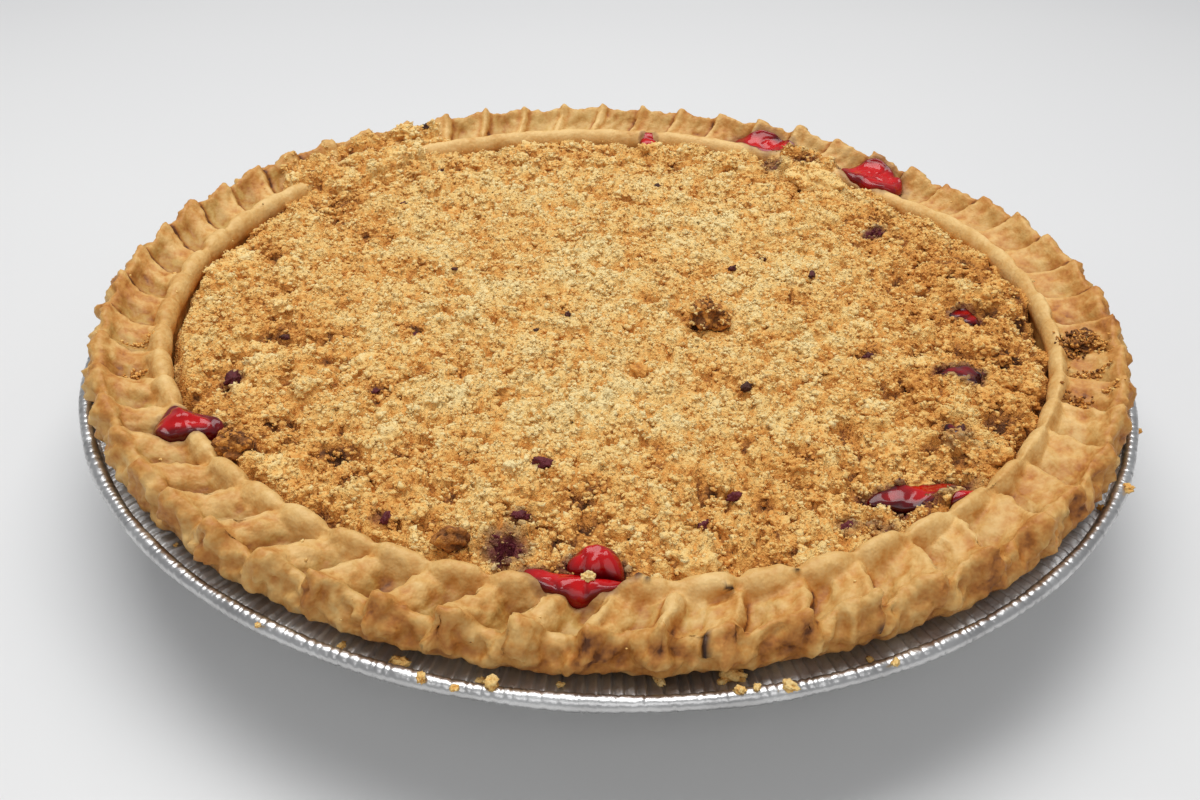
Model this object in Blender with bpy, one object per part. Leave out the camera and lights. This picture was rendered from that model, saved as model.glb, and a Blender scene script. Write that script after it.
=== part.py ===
"""Cherry pie with a crumb topping and a fluted rim, baked in its own pleated foil pan.

Run with: blender --background --python part.py
Units are metres and +Z is up. The origin is the centre of the pan's base, on the surface that it
stands on, and the front of the pie faces -Y. Every sub-part is one closed solid.
"""

import math

import bmesh
import bpy
from mathutils import Matrix, Vector, noise

MM = 0.001
GAP = 0.3 * MM  # free space kept between pieces that touch

# Foil pan
PAN_RADIUS = 127 * MM  # to the outside of the rolled bead
BEAD_RADIUS = 1.6 * MM
BEAD_HEIGHT = 30 * MM  # of the bead's centre above the base
BEAD_SIDES = 6
FOIL = 0.6 * MM
BASE_RADIUS = 93 * MM
CORNER = 2 * MM  # bend between the base and the wall
PANEL_RADIUS = 78 * MM  # raised middle of the base
PANEL_LIFT = 1.2 * MM
WALL_TOP_RADIUS = 115 * MM
FLANGE_DROP = 1.9 * MM  # flange below the bead's centre
PLEATS = 56
PLEAT_DEPTH = 0.4 * MM

# Pastry rim
FLUTES = 56
FLUTE_START = math.radians(-12.2)  # where the first ridge ends, at the lip
FLUTE_BUNCHING = (math.radians(1.75), math.radians(1.35))  # pitch drift, once and twice round
FLUTE_UNEVENNESS = 0.12  # share of a ridge's height that comes and goes
FLUTE_SLANT = math.radians(-2.2)  # a ridge's sideways lean from the roll to the lip
STEEP_SHARE = 0.35  # of a flute's width, taken by the steep side of its ridge
RIM_OFF_CENTRE = 1.2 * MM  # the rim's shift towards the back
RIM_OVAL = 0.95 * MM  # half of how much wider the rim is from side to side
RIM_SAG = 0.5 * MM  # slow rise and fall of the rim
DENT_DEPTH = 2.4 * MM  # where the rim is pressed down beside the cherries at the back
DENT_ANGLE = math.radians(39)
DENT_WIDTH = math.radians(10)
ROLL_INNER_RADIUS = 105.6 * MM
LIP_RADIUS = 120.2 * MM
FLOOR_HEIGHT = 29 * MM  # of the hollow that holds the topping

# Crumb topping
CRUMB_EDGE_HEIGHT = 37.2 * MM
CRUMB_DOME = 2.2 * MM
CRUMB_LUMPS = 1.5 * MM
CRUMB_LUMP_WIDTH = 17 * MM

# Cherries and lumps
INSERT_LUMPS = 0.14  # unevenness of a piece, as a share of its size
CUT_ROOM = 0.45 * MM  # how much larger a pocket is than what it holds


def clear_scene():
    for obj in list(bpy.data.objects):
        bpy.data.objects.remove(obj)


def material(name, colour, roughness, metallic=0.0):
    made = bpy.data.materials.new(name)
    made.use_nodes = True
    shader = made.node_tree.nodes["Principled BSDF"]
    shader.inputs["Base Color"].default_value = (*colour, 1.0)
    shader.inputs["Roughness"].default_value = roughness
    shader.inputs["Metallic"].default_value = metallic
    return made


def add_object(name, mesh, look):
    obj = bpy.data.objects.new(name, mesh)
    obj.data.materials.append(look)
    bpy.context.scene.collection.objects.link(obj)
    return obj


def polar(radius, angle, height):
    return Vector((radius * math.cos(angle), radius * math.sin(angle), height))


def plain_ring(radius, height, count):
    return [polar(radius, i * math.tau / count, height) for i in range(count)]


# Rings and skins: a skin is a list of rings of points, joined from the first to the last.


def join_rings(bm, first, second):
    """Joins two rings whose counts are equal or differ by a factor of two."""
    small, large = sorted((first, second), key=len)
    ratio = len(large) // len(small)
    outward = first is small
    for i, start in enumerate(small):
        after = small[(i + 1) % len(small)]
        run = [large[(i * ratio + k) % len(large)] for k in range(ratio + 1)]
        if len(small) == 1:
            faces = [(start, run[0], run[1])]
        elif ratio == 1:
            faces = [(start, run[0], run[1], after)]
        else:
            faces = [(start, run[0], run[1]), (start, run[1], after), (after, run[1], run[2])]
        for face in faces:
            bm.faces.new(face if outward else face[::-1])


def fan(bm, centre, ring, outward):
    for i, start in enumerate(ring):
        face = (centre, start, ring[(i + 1) % len(ring)])
        bm.faces.new(face if outward else face[::-1])


def skin(name, start, rings, end):
    """A closed mesh from a pole, through rings of points, to a second pole."""
    bm = bmesh.new()
    loops = [[bm.verts.new(point) for point in ring] for ring in rings]
    fan(bm, bm.verts.new(start), loops[0], True)
    for first, second in zip(loops, loops[1:]):
        join_rings(bm, first, second)
    fan(bm, bm.verts.new(end), loops[-1], False)
    bmesh.ops.recalc_face_normals(bm, faces=bm.faces)
    mesh = bpy.data.meshes.new(name)
    bm.to_mesh(mesh)
    bm.free()
    mesh.shade_smooth()
    mesh.set_sharp_from_angle(angle=math.radians(50))
    return mesh


def offset_profile(profile, distance):
    """A (radius, height) line moved to its left-hand side, which is up for a line that runs outwards."""
    moved = []
    for i, point in enumerate(profile):
        before = Vector(profile[max(i - 1, 0)])
        after = Vector(profile[min(i + 1, len(profile) - 1)])
        along = (after - before).normalized()
        moved.append((point[0] - along.y * distance, point[1] + along.x * distance))
    return moved


# Foil pan


def pan_profile():
    """The pan's underside as (radius, height), from the raised panel's edge to the bead."""
    flange = BEAD_HEIGHT - FLANGE_DROP
    return [
        (PANEL_RADIUS, PANEL_LIFT),
        (PANEL_RADIUS + CORNER, 0),
        (BASE_RADIUS, 0),
        (BASE_RADIUS + CORNER, 0.6 * CORNER),
        (WALL_TOP_RADIUS, flange),
        (PAN_RADIUS - 2 * BEAD_RADIUS - FOIL, flange),
    ]


def pan_ring(radius, height, pleated):
    """One ring of the pan; each second point stands proud where the foil is pleated."""
    step = math.tau / (2 * PLEATS)
    proud = PLEAT_DEPTH / 2 if pleated else 0
    return [
        polar(radius + proud * (-1) ** i, i * step, height + proud * (-1) ** i)
        for i in range(2 * PLEATS)
    ]


def pan_wall_ring(profile, i):
    """The ring at one point of the pan's profile: plain on the base, pleated under the flange."""
    radius, height = profile[i]
    if i < 4:
        return plain_ring(radius, height, PLEATS)
    return pan_ring(radius, height, i == 4)


def foil_pan(look):
    lower = pan_profile()
    upper = offset_profile(lower, FOIL)
    rings = [pan_wall_ring(lower, i) for i in range(len(lower))]
    bead_centre = PAN_RADIUS - BEAD_RADIUS
    for i in range(BEAD_SIDES - 1):
        turn = (i + 1) * math.tau / BEAD_SIDES - math.pi
        rings.append(
            pan_ring(
                bead_centre + BEAD_RADIUS * math.cos(turn),
                BEAD_HEIGHT + BEAD_RADIUS * math.sin(turn),
                False,
            )
        )
    rings += [pan_wall_ring(upper, i) for i in reversed(range(len(upper)))]
    mesh = skin("foil_pan", (0, 0, PANEL_LIFT), rings, (0, 0, PANEL_LIFT + FOIL))
    return add_object("foil_pan", mesh, look)


# Pastry


def flute_angle(position):
    """The angle of a place counted in flutes, with the pitch a little uneven."""
    angle = position * math.tau / FLUTES
    once, twice = FLUTE_BUNCHING
    return FLUTE_START + angle + once * math.sin(angle) + twice * math.sin(2 * angle)


def rim_stretch(angle):
    """How far out the rim lies at an angle, beyond its mean radius."""
    return RIM_OFF_CENTRE * math.sin(angle) + RIM_OVAL * math.cos(2 * angle)


def rim_rise(angle, height):
    """The rise of the rim at an angle, which fades out down to the pan's bead."""
    wave = 0.6 * math.sin(2 * angle + 2.0) + 0.4 * math.sin(5 * angle + 0.4)
    apart = math.remainder(angle - DENT_ANGLE, math.tau) / DENT_WIDTH
    rise = RIM_SAG * wave - DENT_DEPTH * math.exp(-(apart**2))
    return rise * min(max(height / (8 * MM), 0), 1)


def ridge_share(phase):
    """1 on the crest of a flute, steep on one side and gentle on the other, 0 in the panel."""
    gentle = 1 - STEEP_SHARE
    if phase < gentle:
        return (1 - phase / gentle) ** 2
    return ((phase - gentle) / STEEP_SHARE) ** 2


def rim_ring(radius, valley, ridge, slant, per_flute):
    """One ring of the fluted rim, with heights measured from the centre of the pan's bead."""
    ring = []
    for i in range(FLUTES * per_flute):
        position = i / per_flute
        angle = flute_angle(position) - FLUTE_SLANT * (1 - slant)
        size = 1 + FLUTE_UNEVENNESS * math.sin(2.4 * round(position))
        height = valley + (ridge - valley) * ridge_share(position % 1) * size
        height += rim_rise(angle, height)
        ring.append(polar(radius + rim_stretch(angle), angle, BEAD_HEIGHT + height))
    return ring


def rim_rings():
    """The rim from the foot of its inner wall, over the roll and the flutes, to its bottom edge."""
    roll = ROLL_INNER_RADIUS
    lip = LIP_RADIUS
    floor = FLOOR_HEIGHT - BEAD_HEIGHT
    sections = [  # radius, height in the panels, height on the ridges, slant, points per flute
        (roll, floor, floor, 0, 2),
        (roll + 0.9 * MM, 8.6 * MM, 9.0 * MM, 0, 2),
        (roll + 3.0 * MM, 9.8 * MM, 10.2 * MM, 0, 2),
        (roll + 5.4 * MM, 8.2 * MM, 9.4 * MM, 0, 2),
        (roll + 6.8 * MM, 6.8 * MM, 9.6 * MM, 0.1, 4),
        (roll + 10.8 * MM, 7.2 * MM, 11.4 * MM, 0.6, 4),
        (lip - 0.2 * MM, 11.4 * MM, 15.0 * MM, 1, 4),
        (lip + 2.5 * MM, 8.2 * MM, 10.6 * MM, 1, 4),
        (lip + 2.6 * MM, 3.6 * MM, 3.6 * MM, 1, 2),
        (lip + 0.3 * MM, 0.2 * MM, 0.2 * MM, 1, 2),
    ]
    return [rim_ring(*section) for section in sections]


def crust_underside():
    """Rings that follow the pan's inside, from under the rim to the middle of the base."""
    gap = FOIL + PLEAT_DEPTH + GAP
    inside = offset_profile(pan_profile(), gap)
    return [plain_ring(*inside[i], FLUTES) for i in (4, 3, 1, 0)]


def pie_crust(look, pockets):
    rings = rim_rings() + crust_underside()
    bottom = PANEL_LIFT + FOIL + PLEAT_DEPTH + GAP
    mesh = skin("pie_crust", (0, 0, FLOOR_HEIGHT), rings, (0, 0, bottom))
    crust = add_object("pie_crust", mesh, look)
    cut_pockets(crust, pockets)
    return crust


# Crumb topping


def crumb_height(x, y):
    """The uneven surface of the crumbs: a low dome with soft lumps, lower beside the rim."""
    share = min(math.hypot(x, y) / ROLL_INNER_RADIUS, 1)
    place = Vector((x, y, 0)) / CRUMB_LUMP_WIDTH
    lumps = CRUMB_LUMPS * noise.noise(place, noise_basis="PERLIN_ORIGINAL")
    return CRUMB_EDGE_HEIGHT + CRUMB_DOME * (1 - share**3) + lumps


def crumb_topping(look, pockets):
    edge = ROLL_INNER_RADIUS - GAP
    counts = [14, 28, 28, 56, 56, 56, 56, 56]
    rings = []
    for i, count in enumerate(counts):
        share = (i + 1) / len(counts)
        ring = []
        for j in range(count):
            angle = j * math.tau / count
            place = polar((edge + rim_stretch(angle)) * share * 0.98, angle, 0)
            place.z = crumb_height(place.x, place.y)
            ring.append(place)
        rings.append(ring)
    bottom = FLOOR_HEIGHT + GAP
    for height in (CRUMB_EDGE_HEIGHT - 2 * MM, bottom):
        angles = [j * math.tau / counts[-1] for j in range(counts[-1])]
        rings.append([polar(edge + rim_stretch(a), a, height) for a in angles])
    mesh = skin("crumb_topping", (0, 0, crumb_height(0, 0)), rings, (0, 0, bottom))
    topping = add_object("crumb_topping", mesh, look)
    cut_pockets(topping, pockets)
    return topping


# Cherries and lumps that sit in the topping and on the rim


def lumpy_ball(name, size, room, seed):
    """An uneven ellipsoid with the half-sizes in size, each larger by room."""
    bm = bmesh.new()
    bmesh.ops.create_icosphere(bm, subdivisions=2, radius=1)
    for vert in bm.verts:
        push = 1 + INSERT_LUMPS * noise.noise(vert.co * 1.3 + Vector((seed * 7.1, seed * 3.3, 0)))
        vert.co = Vector(push * c * half + room * c for c, half in zip(vert.co, size))
    mesh = bpy.data.meshes.new(name)
    bm.to_mesh(mesh)
    bm.free()
    mesh.shade_smooth()
    return mesh


def insert(name, look, place, size, turn, seed, pockets):
    """A cherry or lump at place, and the cutter that makes its pocket."""
    half = [s * MM for s in size]
    obj = add_object(name, lumpy_ball(name, half, 0, seed), look)
    cutter = add_object(name + "_pocket", lumpy_ball(name + "_pocket", half, CUT_ROOM, seed), look)
    for each in (obj, cutter):
        each.location = Vector(place) * MM
        each.rotation_euler.z = math.radians(turn)
    cutter.hide_render = True
    cutter.display_type = "WIRE"
    bpy.context.scene.collection.objects.unlink(cutter)
    pockets.objects.link(cutter)
    return obj


def cut_pockets(obj, pockets):
    cut = obj.modifiers.new("pockets", "BOOLEAN")
    cut.operation = "DIFFERENCE"
    cut.operand_type = "COLLECTION"
    cut.collection = pockets
    cut.solver = "EXACT"


def cherries(look, pockets):
    """The cherries and cherry gel that break through, placed in millimetres from the origin."""
    pieces = [  # name, place, half-sizes, turn in degrees
        ("cherry_left", (-89.0, -59.9, 38.6), (7.2, 5.4, 4.6), -8),
        ("cherry_front_back", (-1.6, -97.0, 37.6), (5.4, 3.9, 4.4), 0),
        ("cherry_front_edge", (-5.8, -106.0, 37.6), (9.6, 4.3, 4.2), 0),
        ("cherry_right_long", (63.0, -72.2, 37.0), (9.0, 2.9, 3.4), 18),
        ("cherry_right_sunk", (80.5, -32.5, 36.6), (4.8, 3.4, 3.0), 10),
        ("cherry_right_small", (88.6, -2.3, 36.4), (3.6, 2.6, 2.6), -20),
        ("cherry_back_right", (78.6, 81.0, 37.8), (10.6, 7.0, 4.6), -44),
        ("cherry_back", (49.8, 102.6, 37.6), (12.0, 5.6, 4.0), -26),
        ("cherry_back_small", (11.2, 103.8, 37.8), (2.8, 4.8, 3.4), -6),
    ]
    for seed, (name, place, size, turn) in enumerate(pieces):
        insert(name, look, place, size, turn, seed, pockets)


def lumps(look, pockets):
    """Large toasted crumb lumps, placed in millimetres from the origin."""
    pieces = [
        ("crumb_lump_middle", (23.6, -9.7, 39.8), (4.8, 4.6, 3.4), 0),
        ("crumb_lump_left", (-77.4, -65.8, 37.6), (4.8, 3.9, 3.2), 10),
        ("crumb_lump_right", (113.4, -16.4, 39.4), (4.2, 4.4, 2.4), 0),
        ("crumb_lump_back", (60.0, 72.5, 39.2), (8.6, 5.6, 3.8), -36),
    ]
    for seed, (name, place, size, turn) in enumerate(pieces):
        insert(name, look, place, size, turn, seed + 20, pockets)


def main():
    clear_scene()
    foil = material("foil", (0.78, 0.78, 0.77), 0.28, 1.0)
    pastry = material("pastry", (0.72, 0.47, 0.22), 0.6)
    crumb = material("crumb", (0.76, 0.52, 0.25), 0.8)
    toasted = material("toasted_crumb", (0.36, 0.20, 0.08), 0.75)
    cherry = material("cherry", (0.42, 0.01, 0.015), 0.12)
    pockets = bpy.data.collections.new("pockets")
    bpy.context.scene.collection.children.link(pockets)
    cherries(cherry, pockets)
    lumps(toasted, pockets)
    foil_pan(foil)
    pie_crust(pastry, pockets)
    crumb_topping(crumb, pockets)


main()
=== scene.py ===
import math

import bmesh
import bpy
import numpy as np
from mathutils import Matrix, Vector, noise


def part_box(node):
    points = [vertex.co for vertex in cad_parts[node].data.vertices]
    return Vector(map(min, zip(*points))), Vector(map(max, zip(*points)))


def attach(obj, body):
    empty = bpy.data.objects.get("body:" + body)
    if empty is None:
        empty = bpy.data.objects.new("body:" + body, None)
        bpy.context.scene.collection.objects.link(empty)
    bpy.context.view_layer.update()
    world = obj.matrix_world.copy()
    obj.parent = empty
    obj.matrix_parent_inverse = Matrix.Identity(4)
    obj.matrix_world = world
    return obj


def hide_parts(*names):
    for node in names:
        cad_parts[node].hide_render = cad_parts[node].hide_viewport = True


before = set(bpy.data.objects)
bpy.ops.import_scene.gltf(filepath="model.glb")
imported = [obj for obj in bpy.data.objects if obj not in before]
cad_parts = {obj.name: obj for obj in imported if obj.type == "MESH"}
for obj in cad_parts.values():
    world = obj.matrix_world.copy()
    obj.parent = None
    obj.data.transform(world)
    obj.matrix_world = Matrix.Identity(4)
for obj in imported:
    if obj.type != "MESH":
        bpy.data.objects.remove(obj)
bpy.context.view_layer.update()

mm = 0.001  # lengths below are in millimetres, unless a note says otherwise


# Small tools for numbers and fields


def smoothStep(low, high, values):
    share = np.clip((values - low) / (high - low), 0, 1)
    return share * share * (3 - 2 * share)


def mixed(first, second, share):
    return first + (second - first) * share


def noiseAt(points, size, seed):
    # soft noise of about -1 to 1 with features of this size
    places = np.asarray(points) / size + seed * 17.3
    values = [noise.noise(place) for place in places.reshape(-1, 3).tolist()]
    return np.reshape(values, places.shape[:-1]) * 1.6


def addNoises(values, points, layers):
    # adds soft noise of several sizes, from (size, amount, seed) rows
    for size, amount, seed in layers:
        values = values + amount * noiseAt(points, size, seed)
    return values


def cellsAt(points, size, seed):
    # distance to the nearest and second cell centre, and a random number for each cell
    places = np.asarray(points) / size + seed * 11.7
    found = [noise.voronoi(place) for place in places.reshape(-1, 3).tolist()]
    near = np.array([distances[0] for distances, spots in found])
    second = np.array([distances[1] for distances, spots in found])
    spots = np.array([tuple(spots[0]) for distances, spots in found])
    mark = np.modf(np.abs(np.sin(spots @ (12.99, 78.23, 37.72)) * 4375.85))[0]
    return [values.reshape(places.shape[:-1]) for values in (near, second, mark)]


def aroundTable(angles, table):
    # a value that changes round the rim, from (angle in degrees, value) pairs
    turns, values = np.array(table, float).T
    return np.interp(np.degrees(angles) % 360, turns, values, period=360)


def turnFrom(angles, middle):
    # how far each angle is from this one, the short way round
    return np.mod(angles - middle + math.pi, math.tau) - math.pi


def spotFade(x, y, spotX, spotY, reach, steep=1):
    # 1 at the middle of a round spot, falling smoothly to 0 past its reach
    return np.exp(-((((x - spotX) ** 2 + (y - spotY) ** 2) / reach**2) ** steep))


def onFlat(x, y):
    # these places at height 0
    return np.stack([x, y, np.zeros(len(x))], 1)


def turnedBy(points, angle):
    # the points turned about the upright axis
    x, y, z = points.T
    return np.stack([
        x * math.cos(angle) - y * math.sin(angle), x * math.sin(angle) + y * math.cos(angle), z,
    ], 1)


def smoothTable(table, count):
    # rows of a table, resampled evenly along the line of its first two columns
    table = np.array(table, float)
    steps = np.hypot(*np.diff(table[:, :2], axis=0).T)
    along = np.concatenate([[0], np.cumsum(steps)])
    slopes = np.gradient(table, along, axis=0)
    fine = np.linspace(0, along[-1], count)
    before = np.clip(np.searchsorted(along, fine, side="right") - 1, 0, len(along) - 2)
    length = (along[before + 1] - along[before])[:, None]
    t = (fine - along[before])[:, None] / length
    return (
        table[before] * (1 + 2 * t) * (1 - t) ** 2
        + slopes[before] * length * t * (1 - t) ** 2
        + table[before + 1] * t * t * (3 - 2 * t)
        - slopes[before + 1] * length * t * t * (1 - t)
    )


def gridNormals(grid):
    # normals of a grid of points whose columns close into a ring
    across = np.roll(grid, -1, axis=1) - np.roll(grid, 1, axis=1)
    along = np.gradient(grid, axis=0)
    normals = np.cross(across, along)
    return normals / np.maximum(np.linalg.norm(normals, axis=2, keepdims=True), 1e-9)


# Meshes and pieces


def ringFaces(rows, columns):
    # four-sided faces between rings of points
    row, column = np.meshgrid(np.arange(rows - 1), np.arange(columns), indexing="ij")
    here = row * columns
    after = (column + 1) % columns
    corners = (here + column, here + after, here + columns + after, here + columns + column)
    return np.stack(corners, axis=-1).reshape(-1, 4)


def fanFaces(ring, pole, outward):
    after = np.roll(ring, -1)
    pair = (ring, after) if outward else (after, ring)
    return np.stack([np.full(len(ring), pole), *pair], axis=-1)


def closedFaces(rows, columns, firstPole, lastPole, flipped):
    # rings of points, with the first and the last closed by fans to their poles
    ring = np.arange(columns)
    sides = ringFaces(rows, columns)
    return [
        sides[:, ::-1] if flipped else sides,
        fanFaces(ring, firstPole, flipped),
        fanFaces((rows - 1) * columns + ring, lastPole, not flipped),
    ]


def sheetFaces(rows, columns):
    # four-sided faces of a sheet of points, and the points along its border
    index = np.arange(rows * columns).reshape(rows, columns)
    quads = np.stack([index[:-1, :-1], index[1:, :-1], index[1:, 1:], index[:-1, 1:]], -1)
    border = np.concatenate([index[:-1, 0], index[-1, :-1], index[:0:-1, -1], index[0, :0:-1]])
    return quads.reshape(-1, 4), border


def wallFaces(upper, lower):
    return np.stack([upper, lower, np.roll(lower, -1), np.roll(upper, -1)], -1)


def addPiece(name, points, faces, look, fields=None, smooth=True):
    mesh = bpy.data.meshes.new(name)
    corners = np.concatenate([part.ravel() for part in faces])
    sizes = np.concatenate([np.full(len(part), part.shape[1]) for part in faces])
    mesh.vertices.add(len(points))
    mesh.vertices.foreach_set("co", (np.asarray(points) * mm).ravel())
    mesh.loops.add(len(corners))
    mesh.loops.foreach_set("vertex_index", corners.astype(np.int32))
    mesh.polygons.add(len(sizes))
    starts = np.concatenate([[0], np.cumsum(sizes)[:-1]])
    mesh.polygons.foreach_set("loop_start", starts.astype(np.int32))
    mesh.update(calc_edges=True)
    if smooth:
        mesh.shade_smooth()
    for field, values in (fields or {}).items():
        layer = mesh.attributes.new(field, "FLOAT", "POINT")
        layer.data.foreach_set("value", np.asarray(values, np.float32))
    mesh.materials.append(look)
    piece = bpy.data.objects.new(name, mesh)
    bpy.context.scene.collection.objects.link(piece)
    return piece


def keep(piece, slotName, *nodes):
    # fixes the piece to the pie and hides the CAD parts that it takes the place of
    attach(piece, "root")
    if nodes:
        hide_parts(*nodes)
    return piece


def ballShape(divisions):
    bm = bmesh.new()
    bmesh.ops.create_icosphere(bm, subdivisions=divisions, radius=1)
    points = np.array([vert.co[:] for vert in bm.verts])
    faces = np.array([[vert.index for vert in face.verts] for face in bm.faces])
    bm.free()
    return points, faces


def octahedronShape():
    points = np.array([(1, 0, 0), (0, 1, 0), (-1, 0, 0), (0, -1, 0), (0, 0, 1), (0, 0, -1)], float)
    faces = [(i, (i + 1) % 4, 4) for i in range(4)] + [((i + 1) % 4, i, 5) for i in range(4)]
    return points, np.array(faces)


def randomTurns(random, count):
    # rotation matrices with every direction as likely
    q = random.normal(size=(count, 4))
    w, x, y, z = (q / np.linalg.norm(q, axis=1, keepdims=True)).T
    rows = [
        [1 - 2 * (y * y + z * z), 2 * (x * y - z * w), 2 * (x * z + y * w)],
        [2 * (x * y + z * w), 1 - 2 * (x * x + z * z), 2 * (y * z - x * w)],
        [2 * (x * z - y * w), 2 * (y * z + x * w), 1 - 2 * (x * x + y * y)],
    ]
    return np.array(rows).transpose(2, 0, 1)


# Node tools for materials


def srgb(red, green, blue):
    # the shader's colour for a colour given as 0 to 255
    def channel(value):
        value /= 255
        return value / 12.92 if value <= 0.04045 else ((value + 0.055) / 1.055) ** 2.4
    return (channel(red), channel(green), channel(blue), 1.0)


def addNode(tree, kind, inputs=None, **settings):
    made = tree.nodes.new("ShaderNode" + kind)
    for key, value in settings.items():
        setattr(made, key, value)
    for key, value in (inputs or {}).items():
        if isinstance(value, bpy.types.NodeSocket):
            tree.links.new(value, made.inputs[key])
        else:
            made.inputs[key].default_value = value
    return made


def addMath(tree, operation, first, second, clamp=False):
    return addNode(tree, "Math", {0: first, 1: second}, operation=operation, use_clamp=clamp).outputs[0]


def addMix(tree, share, first, second, blend="MIX"):
    inputs = {0: share, 6: first, 7: second}
    return addNode(tree, "Mix", inputs, data_type="RGBA", blend_type=blend).outputs[2]


def addRamp(tree, share, stops):
    made = addNode(tree, "ValToRGB", {"Fac": share})
    ramp = made.color_ramp
    while len(ramp.elements) < len(stops):
        ramp.elements.new(0.5)
    for element, (position, colour) in zip(ramp.elements, stops):
        element.position = position
        element.color = srgb(*colour)
    return made.outputs["Color"]


def fieldValue(tree, name):
    return addNode(tree, "Attribute", attribute_name=name).outputs["Fac"]


def addNoise(tree, scale, detail=1.0):
    # soft noise fixed to the piece; the scale is in features for each metre
    place = addNode(tree, "TexCoord").outputs["Object"]
    return addNode(tree, "TexNoise", {"Vector": place, "Scale": scale, "Detail": detail}).outputs["Fac"]


def newGroup(name, inputs, result):
    # a node group with these sockets and starting values; a value in brackets is a colour
    group = bpy.data.node_groups.new(name, "ShaderNodeTree")
    for way, sockets in (("INPUT", inputs), ("OUTPUT", result)):
        for label, value in sockets.items():
            kind = "NodeSocketColor" if isinstance(value, tuple) else "NodeSocketFloat"
            socket = group.interface.new_socket(name=label, in_out=way, socket_type=kind)
            socket.default_value = value
    return group, group.nodes.new("NodeGroupInput").outputs, group.nodes.new("NodeGroupOutput").inputs


def addGroup(tree, group, inputs):
    return addNode(tree, "Group", inputs, node_tree=group).outputs


def newLook(name, **values):
    look = bpy.data.materials.new(name)
    look.use_nodes = True
    tree = look.node_tree
    shader = tree.nodes["Principled BSDF"]
    for key, value in values.items():
        shader.inputs[key.replace("_", " ")].default_value = value
    return look, tree, shader.inputs


def linkLook(tree, shader, colour, height, bump):
    # the colour and the bump of a look; a bump is given by its strength and its depth in metres
    strength, depth = bump
    made = addNode(tree, "Bump", {"Strength": strength, "Distance": depth, "Height": height})
    tree.links.new(colour, shader["Base Color"])
    tree.links.new(made.outputs["Normal"], shader["Normal"])


# Effects that several materials share


def makeMottle():
    # a baked tone broken up by noise of two sizes
    group, given, result = newGroup("baked mottle", {
        "Tone": 0.5, "Patch Scale": 120.0, "Patch Amount": 0.3, "Fleck Scale": 900.0, "Fleck Amount": 0.2,
    }, {"Tone": 0.5})
    total = given["Tone"]
    for size in ("Patch", "Fleck"):
        change = addMath(group, "SUBTRACT", addNoise(group, given[size + " Scale"]), 0.5)
        change = addMath(group, "MULTIPLY", change, given[size + " Amount"])
        total = addMath(group, "ADD", total, change)
    group.links.new(total, result["Tone"])
    return group


def makeGrit():
    # the height of a fine rough grain: two sizes of noise
    sizes = {"Grain Scale": 900.0, "Rough Scale": 2500.0}
    group, given, result = newGroup("fine grit", sizes, {"Height": 0.0})
    rough = addMath(group, "MULTIPLY", addNoise(group, given["Rough Scale"], 0.0), 0.4)
    total = addMath(group, "ADD", addNoise(group, given["Grain Scale"]), rough)
    group.links.new(total, result["Height"])
    return group


def makeStain():
    # cherry juice soaked into crumb or pastry
    plain = (0.8, 0.5, 0.2, 1)
    group, given, result = newGroup("cherry stain", {
        "Color": plain, "Stain": 0.0, "Juice": srgb(96, 34, 42),
    }, {"Color": plain})
    uneven = addMath(group, "MULTIPLY", addNoise(group, 420.0, 2.0), 0.9)
    soaked = addMath(group, "MULTIPLY", given["Stain"], 1.5)
    share = addMath(group, "SUBTRACT", soaked, uneven, clamp=True)
    group.links.new(addMix(group, share, given["Color"], given["Juice"]), result["Color"])
    return group


mottle = makeMottle()
grit = makeGrit()
stainGroup = makeStain()


def mottledColour(tree, field, patches, colours):
    # the colour for the tone that the mesh gives; patches are size and amount, then those of the flecks
    labels = ("Patch Scale", "Patch Amount", "Fleck Scale", "Fleck Amount")
    inputs = {"Tone": fieldValue(tree, field), **dict(zip(labels, patches))}
    return addRamp(tree, addGroup(tree, mottle, inputs)["Tone"], colours)


def stainedColour(tree, colour):
    return addGroup(tree, stainGroup, {"Color": colour, "Stain": fieldValue(tree, "stain")})["Color"]


def gritHeight(tree, grain, rough):
    return addGroup(tree, grit, {"Grain Scale": grain, "Rough Scale": rough})["Height"]


# The pie's own layout, repeated from the part's source

panLow, panHigh = (np.array(corner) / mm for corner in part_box("foil_pan"))
panRadius = (panHigh[0] - panLow[0]) / 2
beadRadius = 1.6
beadHeight = panHigh[2] - beadRadius
beadCentre = panRadius - beadRadius

rim = {
    "flutes": 56,
    "start": math.radians(-12.2),
    "bunching": (math.radians(1.75), math.radians(1.35)),
    "unevenness": 0.12,
    "slant": math.radians(-2.2),
    "offCentre": 1.2,
    "oval": 0.95,
    "sag": 0.5,
    "dentDepth": 2.4,
    "dentAngle": math.radians(39),
    "dentWidth": math.radians(10),
    "rollRadius": 105.6,
}


def fluteAngle(position):
    angle = position * math.tau / rim["flutes"]
    once, twice = rim["bunching"]
    return rim["start"] + angle + once * np.sin(angle) + twice * np.sin(2 * angle)


def rimStretch(angle):
    return rim["offCentre"] * np.sin(angle) + rim["oval"] * np.cos(2 * angle)


def rimRise(angle, height):
    wave = 0.6 * np.sin(2 * angle + 2.0) + 0.4 * np.sin(5 * angle + 0.4)
    apart = turnFrom(angle, rim["dentAngle"])
    rise = rim["sag"] * wave - rim["dentDepth"] * np.exp(-((apart / rim["dentWidth"]) ** 2))
    return rise * np.clip(height / 8, 0, 1)


# Where cherries and gel break through, each at its CAD node's place: outline as (angle, radius) pairs,
# height, how plump and how dark it is, how far it follows the ground, and how far the rim sinks under it

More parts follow.
